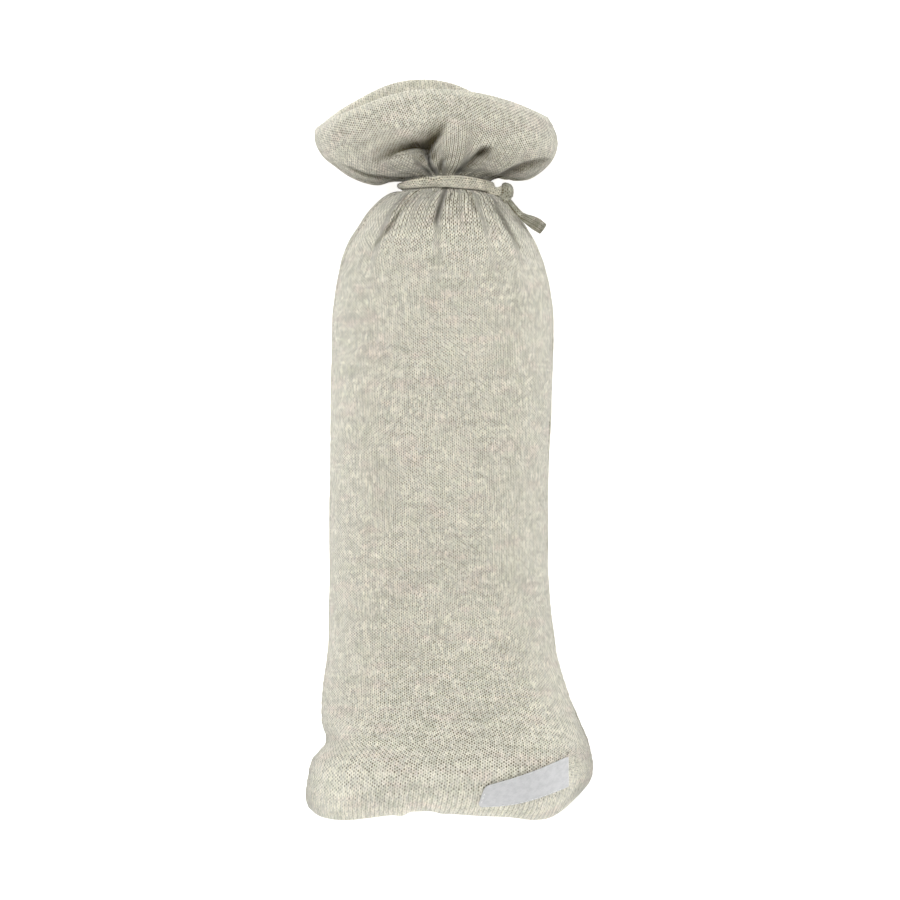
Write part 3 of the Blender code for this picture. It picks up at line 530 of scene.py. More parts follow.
def surface_normal(angle, station):
    """Outward unit normal of the plain surface; the bag's two corners point diagonally."""
    around = (plain_surface(angle + SMALL_ANGLE, station)
              - plain_surface(angle - SMALL_ANGLE, station))
    along = (plain_surface(angle, station + SMALL_STEP)
             - plain_surface(angle, np.minimum(station, RIM_STATION) - SMALL_STEP))
    normal = np.cross(along, around)
    size = np.linalg.norm(normal, axis=-1, keepdims=True)
    corner = np.stack([np.sign(np.cos(angle)), -np.ones_like(angle), np.zeros_like(angle)],
                      axis=-1)
    at_corner = size < NO_TANGENT
    return np.where(at_corner, corner / math.sqrt(2.0), normal / np.where(at_corner, 1.0, size))


def run_lengths(points):
    """Length from a line's first point to each of its points."""
    return np.concatenate([[0.0], np.cumsum(np.linalg.norm(np.diff(points, axis=0), axis=1))])


def cloth_round(angle):
    """Length of cloth round the middle of the body, from the right side to an angle."""
    turns = np.linspace(0.0, 2.0 * TURN, 4 * RING_SAMPLES - 3)
    ring = plain_surface(turns, np.full_like(turns, STATION_OF["mid body"]))
    return np.interp(angle, turns, run_lengths(ring))


def wale_count(angle, station):
    """Wales from the right side to an angle: they run into the gathers beside the tie."""
    stations = station[:, 0]
    turns = np.linspace(0.0, TURN, RING_SAMPLES)
    ring = plain_surface(turns[None, :], np.repeat(stations[:, None], len(turns), axis=1))
    around = np.sum(np.linalg.norm(np.diff(ring, axis=1), axis=-1), axis=1)
    full = cloth_round(np.array(TURN))
    near = 1.0 - smooth_step(np.abs(stations - TIE_STATION), *WALE_GATHER_REACH)
    gathered = (np.clip(1.0 - around / full, 0.0, 1.0) * near)[:, None]
    degrees = np.degrees(angle)
    taken = np.zeros_like(angle)
    total = np.zeros_like(angle)
    for gather in WALE_GATHERS:
        share = np.where(station < TIE_STATION, gather["below"], gather["above"])
        total = total + share
        for turn in (0.0, 360.0):
            away = degrees - gather["angle"] - turn
            taken = taken + share * smooth_step(away, -WALE_GATHER_WIDTH, WALE_GATHER_WIDTH)
    return (cloth_round(angle) * (1.0 - gathered) + full * gathered * taken / total) / WALE


def course_count(angle, station):
    """Courses from the bottom seam, drawn longer on the shoulder by the tie.

    Above the tie they follow the cloth's own length.
    """
    points = plain_surface(angle, station)
    steps = np.linalg.norm(np.diff(points, axis=0), axis=-1)
    far, near = SHOULDER_STRETCH_REACH
    drawn = smooth_step(station[1:], TIE_STATION - far, TIE_STATION - near)
    below = (1.0 - SHOULDER_STRETCH * drawn) * np.diff(station, axis=0)
    steps = np.where(station[1:] > TIE_STATION, steps, below)
    return np.concatenate([station[:1], station[:1] + np.cumsum(steps, axis=0)]) / COURSE


# ---------------------------------------------------------------- folds
def trough(distance, width):
    """Profile across a fold: a soft trough with a slight swell on each side."""
    beside = (distance - SWELL_PLACE * width) / (SWELL_WIDTH * width)
    swell = SWELL_SHARE * np.exp(-beside ** 2)
    return swell - np.exp(-(distance / width) ** 2)


def fold_line(fold):
    """Points along one crease of the face, its run there, and how deep it is."""
    places = np.array(fold["run"])
    knots = run_lengths(places[:, :2])
    at = np.linspace(0.0, knots[-1], FOLD_SAMPLES)
    x, y, depth = (through(knots, values, at) for values in places.T)
    line = np.stack([x, y], axis=1)
    return line, unit(np.gradient(line, axis=0)), depth


def face_folds(points, angle):
    """How far the face's own creases lift the cloth, and how much painted shade they hold.

    Where troughs meet, the deepest counts and the others add little.
    """
    raised, sunk, shade = (np.zeros(points.shape[:-1]) for _ in range(3))
    flat = points[..., :2]
    for fold in FOLDS:
        line, run, depth = fold_line(fold)
        margin = FOLD_MARGIN * max(fold["left"], fold["right"])
        near = np.all((flat > line.min(axis=0) - margin) & (flat < line.max(axis=0) + margin),
                      axis=-1)
        if not near.any():
            continue
        place = flat[near]
        away = np.linalg.norm(place[:, None, :] - line, axis=-1)
        nearest = np.argmin(away, axis=-1)
        distance = np.min(away, axis=-1)
        offset = place - line[nearest]
        side = run[nearest, 0] * offset[:, 1] - run[nearest, 1] * offset[:, 0]
        lean = smooth_step(side / np.maximum(distance, FOLD_LEAN_FROM), -FOLD_LEAN, FOLD_LEAN)
        width = fold["right"] + (fold["left"] - fold["right"]) * lean
        centre = np.exp(-(distance / width) ** 2)
        deep = np.maximum(depth[nearest], 0.0)
        raised[near] += deep * (trough(distance, width) + centre)
        raised[near] -= np.minimum(depth[nearest], 0.0) * centre
        sunk[near] += (deep * centre) ** FOLD_JOIN
        # painted shade inside the crease, from its depth and its shade
        shade[near] += (deep * centre * fold["shade"]) ** FOLD_JOIN
    front = smooth_step(np.sin(angle), 0.0, FOLD_FRONT)
    return (raised - sunk ** (1.0 / FOLD_JOIN)) * front, shade ** (1.0 / FOLD_JOIN) * front


def gather_folds(angle, station):
    """How far the gathers round the neck move the cloth outwards."""
    turn = np.degrees(angle)
    from_tie = station - TIE_STATION
    above = from_tie > 0.0
    run = np.abs(from_tie)
    moved = np.zeros(np.shape(turn))
    for gather in GATHERS:
        away = np.abs((turn - gather["angle"] + 180.0) % 360.0 - 180.0)
        depth = np.where(above, gather["up"], gather["down"])
        reach = np.where(above, gather["reach_up"], gather["reach_down"])
        fade = smooth_step(run, 0.0, GATHER_PEAK) * (1.0 - smooth_step(run, GATHER_PEAK, reach))
        moved = moved + depth * fade * trough(away, gather["width"])
    return moved


def fine_pleats(angle, station):
    """Small pleats beside the tie."""
    from_tie = station - TIE_STATION
    reach = np.where(from_tie > 0.0, PLEAT_REACH_UP, PLEAT_REACH_DOWN)
    fade = 1.0 - smooth_step(np.abs(from_tie), TIE_HALF_WIDTH, reach)
    twist = PLEAT_TWIST * from_tie
    waves = sum(pleat["depth"] * np.sin(pleat["waves"] * angle + pleat["phase"] + twist)
                for pleat in PLEATS)
    return waves * fade


def lumps(round_length, station):
    """The slow unevenness of cloth over its bottle."""
    moved = np.zeros(station.shape)
    for lump in LUMPS:
        across = (round_length / lump["across"]).ravel()
        along = (station / lump["along"]).ravel()
        layer = lump["across"]
        field = [noise.noise(Vector((a, b, layer))) for a, b in zip(across, along)]
        moved = moved + lump["depth"] * np.array(field).reshape(station.shape)
    return moved


def seam_folds(from_seam, station):
    """The side seams sink into the cloth and pucker it a little."""
    groove = SEAM_GROOVE * np.exp(-(from_seam / SEAM_GROOVE_WIDTH) ** 2)
    pucker = np.sin(TURN * station / SEAM_PUCKER_PITCH)
    pucker = pucker * np.exp(-(from_seam / SEAM_PUCKER_REACH) ** 2)
    return SEAM_PUCKER * pucker * (1.0 - np.exp(-(from_seam / SEAM_GROOVE_WIDTH) ** 2)) - groove


def cloth_move(angle, station, from_seam):
    """How the plain surface moves: outwards, and straight up; and its painted shade, 0 to 1."""
    plain = plain_surface(angle, station)
    near_tie = np.abs(station - TIE_STATION) - TIE_HALF_WIDTH
    hold = UNDER_TIE_SHARE + (1.0 - UNDER_TIE_SHARE) * smooth_step(near_tie, 0.0, UNDER_TIE_REACH)
    loose = gather_folds(angle, station) + fine_pleats(angle, station)
    loose = loose + lumps(cloth_round(angle), station) * smooth_step(station, *LUMPS_START)
    lifted, dark = face_folds(plain, angle)
    seam = seam_folds(from_seam, station) * smooth_step(station, *SEAM_START)
    # painted shade: darker in the creases, in the gathers' troughs and along the seam grooves
    shade = (np.clip(dark / SHADE_DEPTH, 0.0, 1.0)
             + np.clip(-loose / GATHER_SHADE_DEPTH, 0.0, GATHER_SHADE_MOST)
             + SEAM_SHADE * np.exp(-(from_seam / SEAM_GROOVE_WIDTH) ** 2))
    return hold * loose + seam, hold * lifted, np.clip(shade, 0.0, 1.0)


def pulled(station):
    """How much the wales stand out as ribs, 0 to 1."""
    tie = PULL_AT_TIE * (1.0 - smooth_step(np.abs(station - TIE_STATION), *PULL_AT_TIE_REACH))
    hem = PULL_AT_HEM * (1.0 - smooth_step(RIM_STATION - station, *PULL_AT_HEM_REACH))
    foot = PULL_AT_FOOT * (1.0 - smooth_step(station, *PULL_AT_FOOT_REACH))
    return np.maximum(tie, np.maximum(hem, foot))


def opened(station):
    """How much the holes between the stitches open on the ruffle and close at the edges."""
    ruffle = smooth_step(station - TIE_STATION, *RUFFLE_OPENS)
    to_rim = smooth_step(station, TIE_STATION + RIM_LESS_FROM, RIM_STATION)
    hem = smooth_step(station - RIM_STATION + HEM_EDGE, -HEM_EDGE_BLEND, HEM_EDGE_BLEND)
    # closing the holes towards the bottom seam lightens the cloth: the folded edge, and painted
    # light
    foot = smooth_step(-station, -FOOT_EDGE, 0.0)
    return ruffle * (1.0 - RIM_LESS_OPEN * to_rim) - EDGE_CLOSE * (hem + foot)


def droop(point):
    """The flat corners hang a little, both panels together."""
    aside = smooth_step(np.abs(point[..., 0]) - CORNER_START, 0.0, CORNER_REACH)
    low = smooth_step(CORNER_TOP - point[..., 1], 0.0, CORNER_FALL)
    lowered = point.copy()
    lowered[..., 2] = point[..., 2] - CORNER_DROOP * aside * low
    return lowered


def cloth_point(angle, station, moved, lifted, inset):
    """A point of the cloth, inset inwards from its outer face by so many millimetres."""
    normal = surface_normal(angle, station)
    point = plain_surface(angle, station) + normal * (moved - inset)[..., None]
    if np.any(inset > 0.0):
        shrunk = plain_surface(angle, station, WALL) + normal * moved[..., None]
        upper = smooth_step(station, SHRINK_FROM, SHRINK_TO)[..., None]
        point = shrunk * (1.0 - upper) + point * upper
    point = droop(point)
    point[..., 2] += lifted
    return point


def on_floor(height, level):
    """Heights kept from falling below a level, with a soft rise beside the flat."""
    rise = height - level
    blend = level + (rise + FLOOR_BLEND) ** 2 / (4.0 * FLOOR_BLEND)
    return np.where(rise < -FLOOR_BLEND, level, np.where(rise < FLOOR_BLEND, blend, height))


def wall_thickness(station):
    return WALL + HEM_EXTRA * smooth_step(station, RIM_STATION - HEM_DEPTH,
                                          RIM_STATION - HEM_FULL)


# ================================================================ meshes
def row_stations():
    """Stations of the mesh's rows, an odd number of them."""
    rows = []
    for place, (low, high) in enumerate(zip(STATIONS, STATIONS[1:])):
        count = 2 * math.ceil((high - low) / SECTIONS[place]["step"] / 2.0)
        share = np.arange(count) / count
        if place == 0:
            share = share ** FOOT_CROWDING
        rows.extend(low + (high - low) * share)
    rows.append(RIM_STATION)
    return np.array(rows)


def grid_faces(ids):
    """Quads between the rows and columns of a table of vertex numbers."""
    return np.stack([ids[:-1, :-1], ids[:-1, 1:], ids[1:, 1:], ids[1:, :-1]],
                    axis=-1).reshape(-1, 4).tolist()


def halving_faces(fine, coarse):
    """Faces between a line of vertices and one with half as many."""
    return [(fine[2 * place], fine[2 * place + 1], fine[2 * place + 2],
             coarse[place + 1], coarse[place]) for place in range(len(coarse) - 1)]


def new_object(name, data):
    item = bpy.data.objects.new(name, data)
    bpy.context.scene.collection.objects.link(item)
    return item


def add_values(mesh, values):
    """Stores numbers or vectors on a mesh's points, by their names."""
    for name, amounts in values.items():
        kind, field = ("FLOAT", "value") if amounts.ndim == 1 else ("FLOAT_VECTOR", "vector")
        layer = mesh.attributes.new(name, kind, "POINT")
        layer.data.foreach_set(field, amounts.astype(np.float32).ravel())


def turn_outwards(mesh):
    shell = bmesh.new()
    shell.from_mesh(mesh)
    bmesh.ops.recalc_face_normals(shell, faces=shell.faces)
    shell.to_mesh(mesh)
    shell.free()


def closed_mesh(name, points, faces, stitches, material, values=()):
    """A smooth closed mesh in metres, with its stitch coordinates and the cloth's own values."""
    mesh = bpy.data.meshes.new(name)
    mesh.from_pydata((points * MM).tolist(), [], faces)
    corners = np.empty(len(mesh.loops), dtype=np.int64)
    mesh.loops.foreach_get("vertex_index", corners)
    layer = mesh.uv_layers.new(name="stitches")
    layer.data.foreach_set("uv", stitches[corners].astype(np.float32).ravel())
    add_values(mesh, dict(values))
    turn_outwards(mesh)
    mesh.shade_smooth()
    mesh.materials.append(material)
    return new_object(name, mesh)


def panel(name, is_front, columns, material):
    """One panel of the bag: an outer and a coarser inner sheet, closed by its edges."""
    stations = row_stations()
    start = np.radians(section("seam_r", stations))
    stop = np.radians(180.0 - section("seam_l", stations))
    share = np.linspace(0.0, 1.0, columns + 1)
    if is_front:
        share = share + COLUMN_CROWDING * np.sin(TURN * share) / TURN
    else:
        start, stop = stop, start + TURN
    angle = start[:, None] + (stop - start)[:, None] * share
    station = np.repeat(stations[:, None], columns + 1, axis=1)
    rounds = cloth_round(angle)
    from_seam = np.minimum(rounds - rounds[:, :1], rounds[:, -1:] - rounds)
    moved, lifted, shade = cloth_move(angle, station, from_seam)
    outer = cloth_point(angle, station, moved, lifted, np.zeros_like(station))
    half = (slice(None, None, 2), slice(None, None, 2))
    inner = cloth_point(angle[half], station[half], moved[half], lifted[half],
                        wall_thickness(station[half]))
    lift = PANEL_GAP / 2.0 if is_front else -PANEL_GAP / 2.0
    outer[..., 2] = on_floor(outer[..., 2] + lift, 0.0)
    inner[..., 2] = on_floor(inner[..., 2] + lift, WALL)
    stitch = np.stack([wale_count(angle, station), course_count(angle, station)], axis=-1)
    hem = rim_roll(outer, inner)
    over_hem = np.array([0.0, HEM_COURSES])
    hem_stitch = [stitch[-1] + over_hem * (step + 1) / (len(hem) + 1)
                  for step in range(len(hem))]
    turned_in = 2.0 * stitch[-1, :, 1] + HEM_COURSES - stitch[..., 1]
    inner_stitch = np.stack([stitch[..., 0], turned_in], axis=-1)[half]

    rows, across = station.shape
    outer_ids = np.arange(rows * across).reshape(rows, across)
    hem_ids = rows * across + np.arange(len(hem) * across).reshape(len(hem), across)
    inner_ids = hem_ids[-1, -1] + 1 + np.arange(inner[..., 0].size).reshape(inner.shape[:2])
    faces = grid_faces(np.concatenate([outer_ids, hem_ids])) + grid_faces(inner_ids)
    faces += halving_faces(hem_ids[-1], inner_ids[-1])
    faces += halving_faces(outer_ids[0], inner_ids[0])
    for end in (0, -1):
        faces += halving_faces(outer_ids[:, end], inner_ids[:, end])
        faces.append((outer_ids[-1, end], *hem_ids[:, end], inner_ids[-1, end]))
    points = np.concatenate([outer.reshape(-1, 3), np.concatenate(hem), inner.reshape(-1, 3)])
    stitches = np.concatenate([stitch.reshape(-1, 2), np.concatenate(hem_stitch),
                               inner_stitch.reshape(-1, 2)])
    values = {}
    # the crease values are the painted shade of the creases, gathers and seam grooves
    for key, amounts in (("crease", shade), ("pull", pulled(station)), ("open", opened(station))):
        values[key] = np.concatenate([amounts.ravel(), np.tile(amounts[-1], len(hem)),
                                      amounts[half].ravel()])
    return closed_mesh(name, points, faces, stitches, material, values)


def rim_roll(outer, inner):
    """Rows that round the mouth's edge from the outer to the inner sheet."""
    top = outer[-1]
    places = np.arange(top.shape[0])
    under = np.stack([np.interp(places, places[::2], inner[-1][:, axis]) for axis in range(3)],
                     axis=1)
    ahead = unit(outer[-1] - outer[-3])
    middle = (top + under) / 2.0
    radius = np.linalg.norm(top - under, axis=-1, keepdims=True) / 2.0
    rows = []
    for step in range(1, HEM_ROUND_STEPS + 1):
        turn = math.pi * step / (HEM_ROUND_STEPS + 1)
        rows.append(middle + (top - middle) * math.cos(turn) + ahead * radius * math.sin(turn))
    return rows


# ---------------------------------------------------------------- node helpers
class Value:
    """What a node puts out; + - * / and ** on it add the nodes that reckon with it."""

    def __init__(self, nodes, socket):
        self.nodes = nodes
        self.socket = socket

    def __add__(self, other):
        return self.nodes.math("ADD", self, other)

    def __sub__(self, other):
        return self.nodes.math("SUBTRACT", self, other)

    def __rsub__(self, other):
        return self.nodes.math("SUBTRACT", other, self)

    def __mul__(self, other):
        return self.nodes.math("MULTIPLY", self, other)

    def __truediv__(self, other):
        return self.nodes.math("DIVIDE", self, other)

    def __rtruediv__(self, other):
        return self.nodes.math("DIVIDE", other, self)

    def __pow__(self, other):
        return self.nodes.math("POWER", self, other)


class Tree:
    """Short ways to add and join the nodes of one tree."""

    def __init__(self, tree):
        self.tree = tree

    def add(self, kind, inputs=(), **settings):
        node = self.tree.nodes.new(kind)
        for name, value in settings.items():
            setattr(node, name, value)
        for name, value in dict(inputs).items():
            self.feed(node.inputs[name], value)
        return node

    def read(self, kind, output=0, inputs=(), **settings):
        """One output of a new node."""
        return Value(self, self.add(kind, inputs, **settings).outputs[output])

    def feed(self, socket, value):
        if isinstance(value, Value):
            self.tree.links.new(value.socket, socket)
        else:
            socket.default_value = value

    def math(self, operation, *values):
        node = self.add("ShaderNodeMath", operation=operation)
        for socket, value in zip(node.inputs, values):
            self.feed(socket, value)
        return Value(self, node.outputs[0])

    def vector(self, operation, first, second):
        node = self.add("ShaderNodeVectorMath", operation=operation)
        self.feed(node.inputs[0], first)
        self.feed(node.inputs["Scale" if operation == "SCALE" else 1], second)
        return Value(self, node.outputs[0])

    def joined(self, x, y, z=0.0):
        return self.read("ShaderNodeCombineXYZ", 0, {"X": x, "Y": y, "Z": z})

    def split(self, vector):
        """The x and y of a vector."""
        parts = self.add("ShaderNodeSeparateXYZ", {"Vector": vector}).outputs
        return Value(self, parts["X"]), Value(self, parts["Y"])

    def mix(self, amount, first, second, blend="MIX"):
        node = self.add("ShaderNodeMix", data_type="RGBA", blend_type=blend)
        for place, value in ((0, amount), (6, first), (7, second)):
            self.feed(node.inputs[place], value)
        return Value(self, node.outputs[2])

    def ramp(self, value, low, high, to_low=0.0, to_high=1.0):
        return self.read("ShaderNodeMapRange", 0, {
            "Value": value, "From Min": low, "From Max": high,
            "To Min": to_low, "To Max": to_high}, interpolation_type="SMOOTHSTEP")

    def noise(self, place, scale, detail=2.0, roughness=0.5, output="Fac"):
        return self.read("ShaderNodeTexNoise", output, {
            "Vector": place, "Scale": scale, "Detail": detail, "Roughness": roughness})

    def chance(self, number, output="Value"):
        """An even random draw for each number."""
        return self.read("ShaderNodeTexWhiteNoise", output, {"Vector": number},
                         noise_dimensions="3D")


def new_group(kind, name, inputs, outputs):
    """A node group with named sockets: what it is given, and where its results go."""
    tree = bpy.data.node_groups.new(name, kind)
    for socket_name, socket_type, default in inputs:
        socket = tree.interface.new_socket(socket_name, in_out="INPUT", socket_type=socket_type)
        if default is not None:
            socket.default_value = default
    for socket_name, socket_type in outputs:
        tree.interface.new_socket(socket_name, in_out="OUTPUT", socket_type=socket_type)
    nodes = Tree(tree)
    given = {socket.name: Value(nodes, socket) for socket in nodes.add("NodeGroupInput").outputs}
    return tree, nodes, given, nodes.add("NodeGroupOutput").inputs


def new_material(name, values):
    """A material with plain values on its shader's own sockets."""
    material = bpy.data.materials.new(name)
    material.use_nodes = True
    shader = material.node_tree.nodes["Principled BSDF"].inputs
    for socket, value in values.items():
        shader[socket].default_value = value
    return material, Tree(material.node_tree), shader


# ================================================================ materials
OATMEAL = (0.79, 0.765, 0.65, 1.0)
TIE_OATMEAL = (0.77, 0.735, 0.605, 1.0)
# the tie's yarn in painted shade, for the knot's lump and the free end
TIE_OATMEAL_PAINTED_SHADE = (0.36, 0.355, 0.28, 1.0)
BARK = (0.15, 0.125, 0.075, 1.0)
# the colour that the painted shade in creases, gathers and seam grooves darkens the yarn to
CREASE_SHADE = (0.17, 0.148, 0.092, 1.0)
ROSE_TINT = (0.80, 0.725, 0.63, 1.0)
SAGE_TINT = (0.755, 0.745, 0.615, 1.0)
LABEL_GREY = (0.49, 0.495, 0.50, 1.0)
LABEL_PALE = (0.565, 0.565, 0.57, 1.0)
LABEL_FLOAT = (0.67, 0.67, 0.67, 1.0)
THREAD_GREY = (0.72, 0.72, 0.71, 1.0)
THREAD_WHITE = (0.86, 0.86, 0.85, 1.0)
WHITE = (1.0, 1.0, 1.0, 1.0)
MIDDLE = (0.5, 0.5, 0.5)

# The drawing of a stitch, in stitches and in shares of its height or darkness.
WANDER_SCALE = 0.5           # stitches lie a little off their places
WANDER = (0.24, 0.45, 0.0)
LEG_SLANT = 1.5
LEG_ROUND = 0.6
LEG_HEIGHT = 0.3             # a leg's own height, and what its yarn adds
YARN_HEIGHT = 0.5
HOLE_ACROSS = 0.7            # how sharply a hole closes across the wale and along it
HOLE_ALONG = 1.2
HOLE_SINK = 0.5
HOLE_SHADE = 1.2
HOLE_OPEN = 0.65             # how much more of it shows where the cloth is open
HOLE_LEAST = 0.4             # the shade of single holes varies, by chance and in patches
HOLE_CHANCE = 1.5
HOLE_SEED = 7.0
PATCH_SCALE = 0.45
PATCH_LEVELS = (0.3, 0.7)
PATCH_SHADES = (0.65, 1.3)
RIB_SHADE = 0.8
RIB_DEPTH = 0.8
VALLEY_SHADE = 0.04

# Unevenness of the yarn's lightness: streaks with a size in stitches, and how much they
# change it between two levels of the noise.
YARN_STREAKS = table("name across along seed low high amount", (
    ("fibre", 1.15, 0.85, 3.1, 0.2, 0.8, 0.09),
    ("run", 0.13, 0.55, 11.7, 0.2, 0.8, 0.09),
    ("mottle", 0.10, 0.13, 27.3, 0.3, 0.7, 0.04),
))
STREAK_SHIFT = 0.37
STREAK_ROUGHNESS = 0.6
STRAND_AMOUNT = 0.14         # how much one leg's yarn differs from the next in lightness
STRAND_HUES = (0.035, 0.02, 0.05)
TINT_STREAKS = (0.11, 0.17, 43.9)    # size across and along, and seed
ROSE_LEVELS = (0.52, 0.68)   # the yarn turns rosier above its middle and greener below
SAGE_LEVELS = (0.48, 0.32)
TINT_MOST = 0.7
FLECK_STREAKS = (0.9, 0.8, 61.3)
FLECK_LEVELS = (0.82, 0.88)
FLECK_MOST = 0.6
FUZZ = 0.35                  # the yarn's hairs, as a share of a stitch's height

# The ribbon's floats and its slow clouds, per millimetre across and along it.
FLOAT_STRETCH = (0.9, 9.0, 1.0)
FLOAT_HEIGHT = 0.06
CLOUD_STRETCH = (0.35, 0.5, 1.0)
PLY_SCALE = 4000.0           # the thread's ply, per metre


def jersey_group():
    """Plain jersey: wales of V-shaped stitches, from coordinates counted in stitches.

    Each V has two slanting legs; small holes lie between the legs, and half a course
    further on between one wale and the next.  Where the cloth is pulled, the wales stand
    out as ribs.  Grain gives each leg a number of its own.
    """
    tree, nodes, given, result = new_group(
        "ShaderNodeTree", "jersey stitches",
        [("Stitches", "NodeSocketVector", None), ("Slant", "NodeSocketFloat", LEG_SLANT),
         ("Pull", "NodeSocketFloat", 0.0), ("Open", "NodeSocketFloat", 0.0)],
        [("Height", "NodeSocketFloat"), ("Hole", "NodeSocketFloat"),
         ("Grain", "NodeSocketVector")])
    stitches = given["Stitches"]
    wander = nodes.noise(stitches, WANDER_SCALE, detail=1.0, output="Color")
    wander = nodes.vector("MULTIPLY", nodes.vector("SUBTRACT", wander, MIDDLE), WANDER)
    across, along = nodes.split(nodes.vector("ADD", stitches, wander))

    aside = nodes.math("ABSOLUTE", nodes.math("FRACT", across) - 0.5) * 2.0
    leg = nodes.math("MAXIMUM", nodes.math("SINE", aside * math.pi), 0.0)
    slanted = along - aside * given["Slant"]
    yarn = nodes.math("COSINE", slanted * TURN) * 0.5 + 0.5
    height = leg ** LEG_ROUND * (yarn * YARN_HEIGHT + LEG_HEIGHT)

    row = along + nodes.math("GREATER_THAN", aside, 0.5) * 0.5
    gap = nodes.math("COSINE", row * TURN) * -0.5 + 0.5
    hole = (1.0 - leg) ** HOLE_ACROSS * gap ** HOLE_ALONG
    height = height - hole * HOLE_SINK
    patch = nodes.ramp(nodes.noise(stitches, PATCH_SCALE), *PATCH_LEVELS, *PATCH_SHADES)
    number = nodes.joined(nodes.math("FLOOR", across * 2.0 + 0.5), nodes.math("FLOOR", row),
                          HOLE_SEED)
    hole = hole * patch * (nodes.chance(number) * HOLE_CHANCE + HOLE_LEAST)
    hole = hole * (given["Open"] * HOLE_OPEN + 1.0) * HOLE_SHADE

    rib = nodes.ramp(aside, 0.5, 1.0) * given["Pull"]
    nodes.feed(result["Height"], height - rib * RIB_DEPTH)
    nodes.feed(result["Hole"], hole + rib * RIB_SHADE + (1.0 - yarn) * VALLEY_SHADE)
    nodes.feed(result["Grain"], nodes.joined(nodes.math("FLOOR", across * 2.0),
                                             nodes.math("FLOOR", slanted + 0.5)))
    return tree


def melange_group():
    """Oatmeal yarn spun from cream, grey and brown fibres, in short lengthwise streaks."""
    tree, nodes, given, result = new_group(
        "ShaderNodeTree", "oatmeal melange",
        [("Stitches", "NodeSocketVector", None), ("Grain", "NodeSocketVector", None),
         ("Yarn", "NodeSocketColor", OATMEAL)],
        [("Color", "NodeSocketColor"), ("Fuzz", "NodeSocketFloat")])

    def streaks(across, along, seed, detail=2.0):
        place = nodes.vector("MULTIPLY", given["Stitches"], (across, along, 1.0))
        place = nodes.vector("ADD", place, (seed, seed * STREAK_SHIFT, seed))
        return nodes.noise(place, 1.0, detail, STREAK_ROUGHNESS)

    def swing(value, low, high, amount):
        """From -amount to +amount between the two levels."""
        return nodes.ramp(value, low, high, -amount, amount)

    lightness = swing(nodes.chance(given["Grain"]), 0.0, 1.0, STRAND_AMOUNT) + 1.0
    for row in YARN_STREAKS:
        streak = streaks(row["across"], row["along"], row["seed"])
        lightness = lightness + swing(streak, row["low"], row["high"], row["amount"])
        if row["name"] == "fibre":
            nodes.feed(result["Fuzz"], streak)

    tint = streaks(*TINT_STREAKS)
    yarn = nodes.mix(nodes.ramp(tint, *ROSE_LEVELS, 0.0, TINT_MOST), given["Yarn"], ROSE_TINT)
    yarn = nodes.mix(nodes.ramp(tint, *SAGE_LEVELS, 0.0, TINT_MOST), yarn, SAGE_TINT)
    hue = nodes.vector("SUBTRACT", nodes.chance(given["Grain"], "Color"), MIDDLE)
    hue = nodes.vector("ADD", nodes.vector("MULTIPLY", hue, STRAND_HUES),
                       nodes.joined(lightness, lightness, lightness))
    yarn = nodes.mix(1.0, yarn, hue, "MULTIPLY")
    fleck = nodes.ramp(streaks(*FLECK_STREAKS, detail=0.0), *FLECK_LEVELS, 0.0, FLECK_MOST)
    nodes.feed(result["Color"], nodes.mix(fleck, yarn, BARK))
    return tree


def knit_material(name, jersey, melange, yarn, hole_depth, relief):
    """Knitted cloth: stitches and melange yarn, read from the piece's stitch coordinates."""
    material, nodes, shader = new_material(name, {
        "Roughness": 0.92, "Specular IOR Level": 0.2, "Sheen Weight": 0.55,
        "Sheen Roughness": 0.2, "Sheen Tint": (0.98, 0.99, 1.0, 1.0)})

    def own(value):
        return nodes.read("ShaderNodeAttribute", "Fac", attribute_name=value)

    stitches = nodes.read("ShaderNodeUVMap", "UV", uv_map="stitches")
    knit = nodes.add("ShaderNodeGroup", node_tree=jersey)
    spun = nodes.add("ShaderNodeGroup", node_tree=melange)
    height, hole, grain = (Value(nodes, knit.outputs[key]) for key in ("Height", "Hole", "Grain"))
    colour, fuzz = (Value(nodes, spun.outputs[key]) for key in ("Color", "Fuzz"))
    for group, socket, value in ((knit, "Stitches", stitches), (knit, "Pull", own("pull")),
                                 (knit, "Open", own("open")), (spun, "Stitches", stitches),
                                 (spun, "Grain", grain), (spun, "Yarn", yarn)):
        nodes.feed(group.inputs[socket], value)
    colour = nodes.mix(hole * hole_depth, colour, BARK)
    # painted shade in creases, gathers and seam grooves, read from the mesh's crease values
    colour = nodes.mix(own("crease"), colour, CREASE_SHADE, "MULTIPLY")
    nodes.feed(shader["Base Color"], colour)
    nodes.feed(shader["Normal"], nodes.read("ShaderNodeBump", "Normal", {
        "Height": fuzz * FUZZ + height, "Distance": relief * MM, "Strength": 1.0}))
    return material


def label_material():
    """Pale satin ribbon: fine lengthwise floats with a soft shine."""
    material, nodes, shader = new_material("satin label", {
        "Specular IOR Level": 0.45, "Sheen Weight": 0.1})
    ribbon = nodes.read("ShaderNodeUVMap", "UV", uv_map="stitches")
    floats = nodes.noise(nodes.vector("MULTIPLY", ribbon, FLOAT_STRETCH), 1.0, detail=3.0)
    cloud = nodes.noise(nodes.vector("MULTIPLY", ribbon, CLOUD_STRETCH), 1.0)
    colour = nodes.mix(nodes.ramp(cloud, low=0.35, high=0.65), LABEL_GREY, LABEL_PALE)
    floating = nodes.ramp(floats, low=0.40, high=0.65, to_high=0.5)
    nodes.feed(shader["Base Color"], nodes.mix(floating, colour, LABEL_FLOAT))
    nodes.feed(shader["Roughness"], nodes.ramp(floats, low=0.3, high=0.7,
                                               to_low=0.42, to_high=0.6))
    nodes.feed(shader["Normal"], nodes.read("ShaderNodeBump", "Normal", {
        "Height": floats, "Distance": FLOAT_HEIGHT * MM, "Strength": 0.8}))
    return material


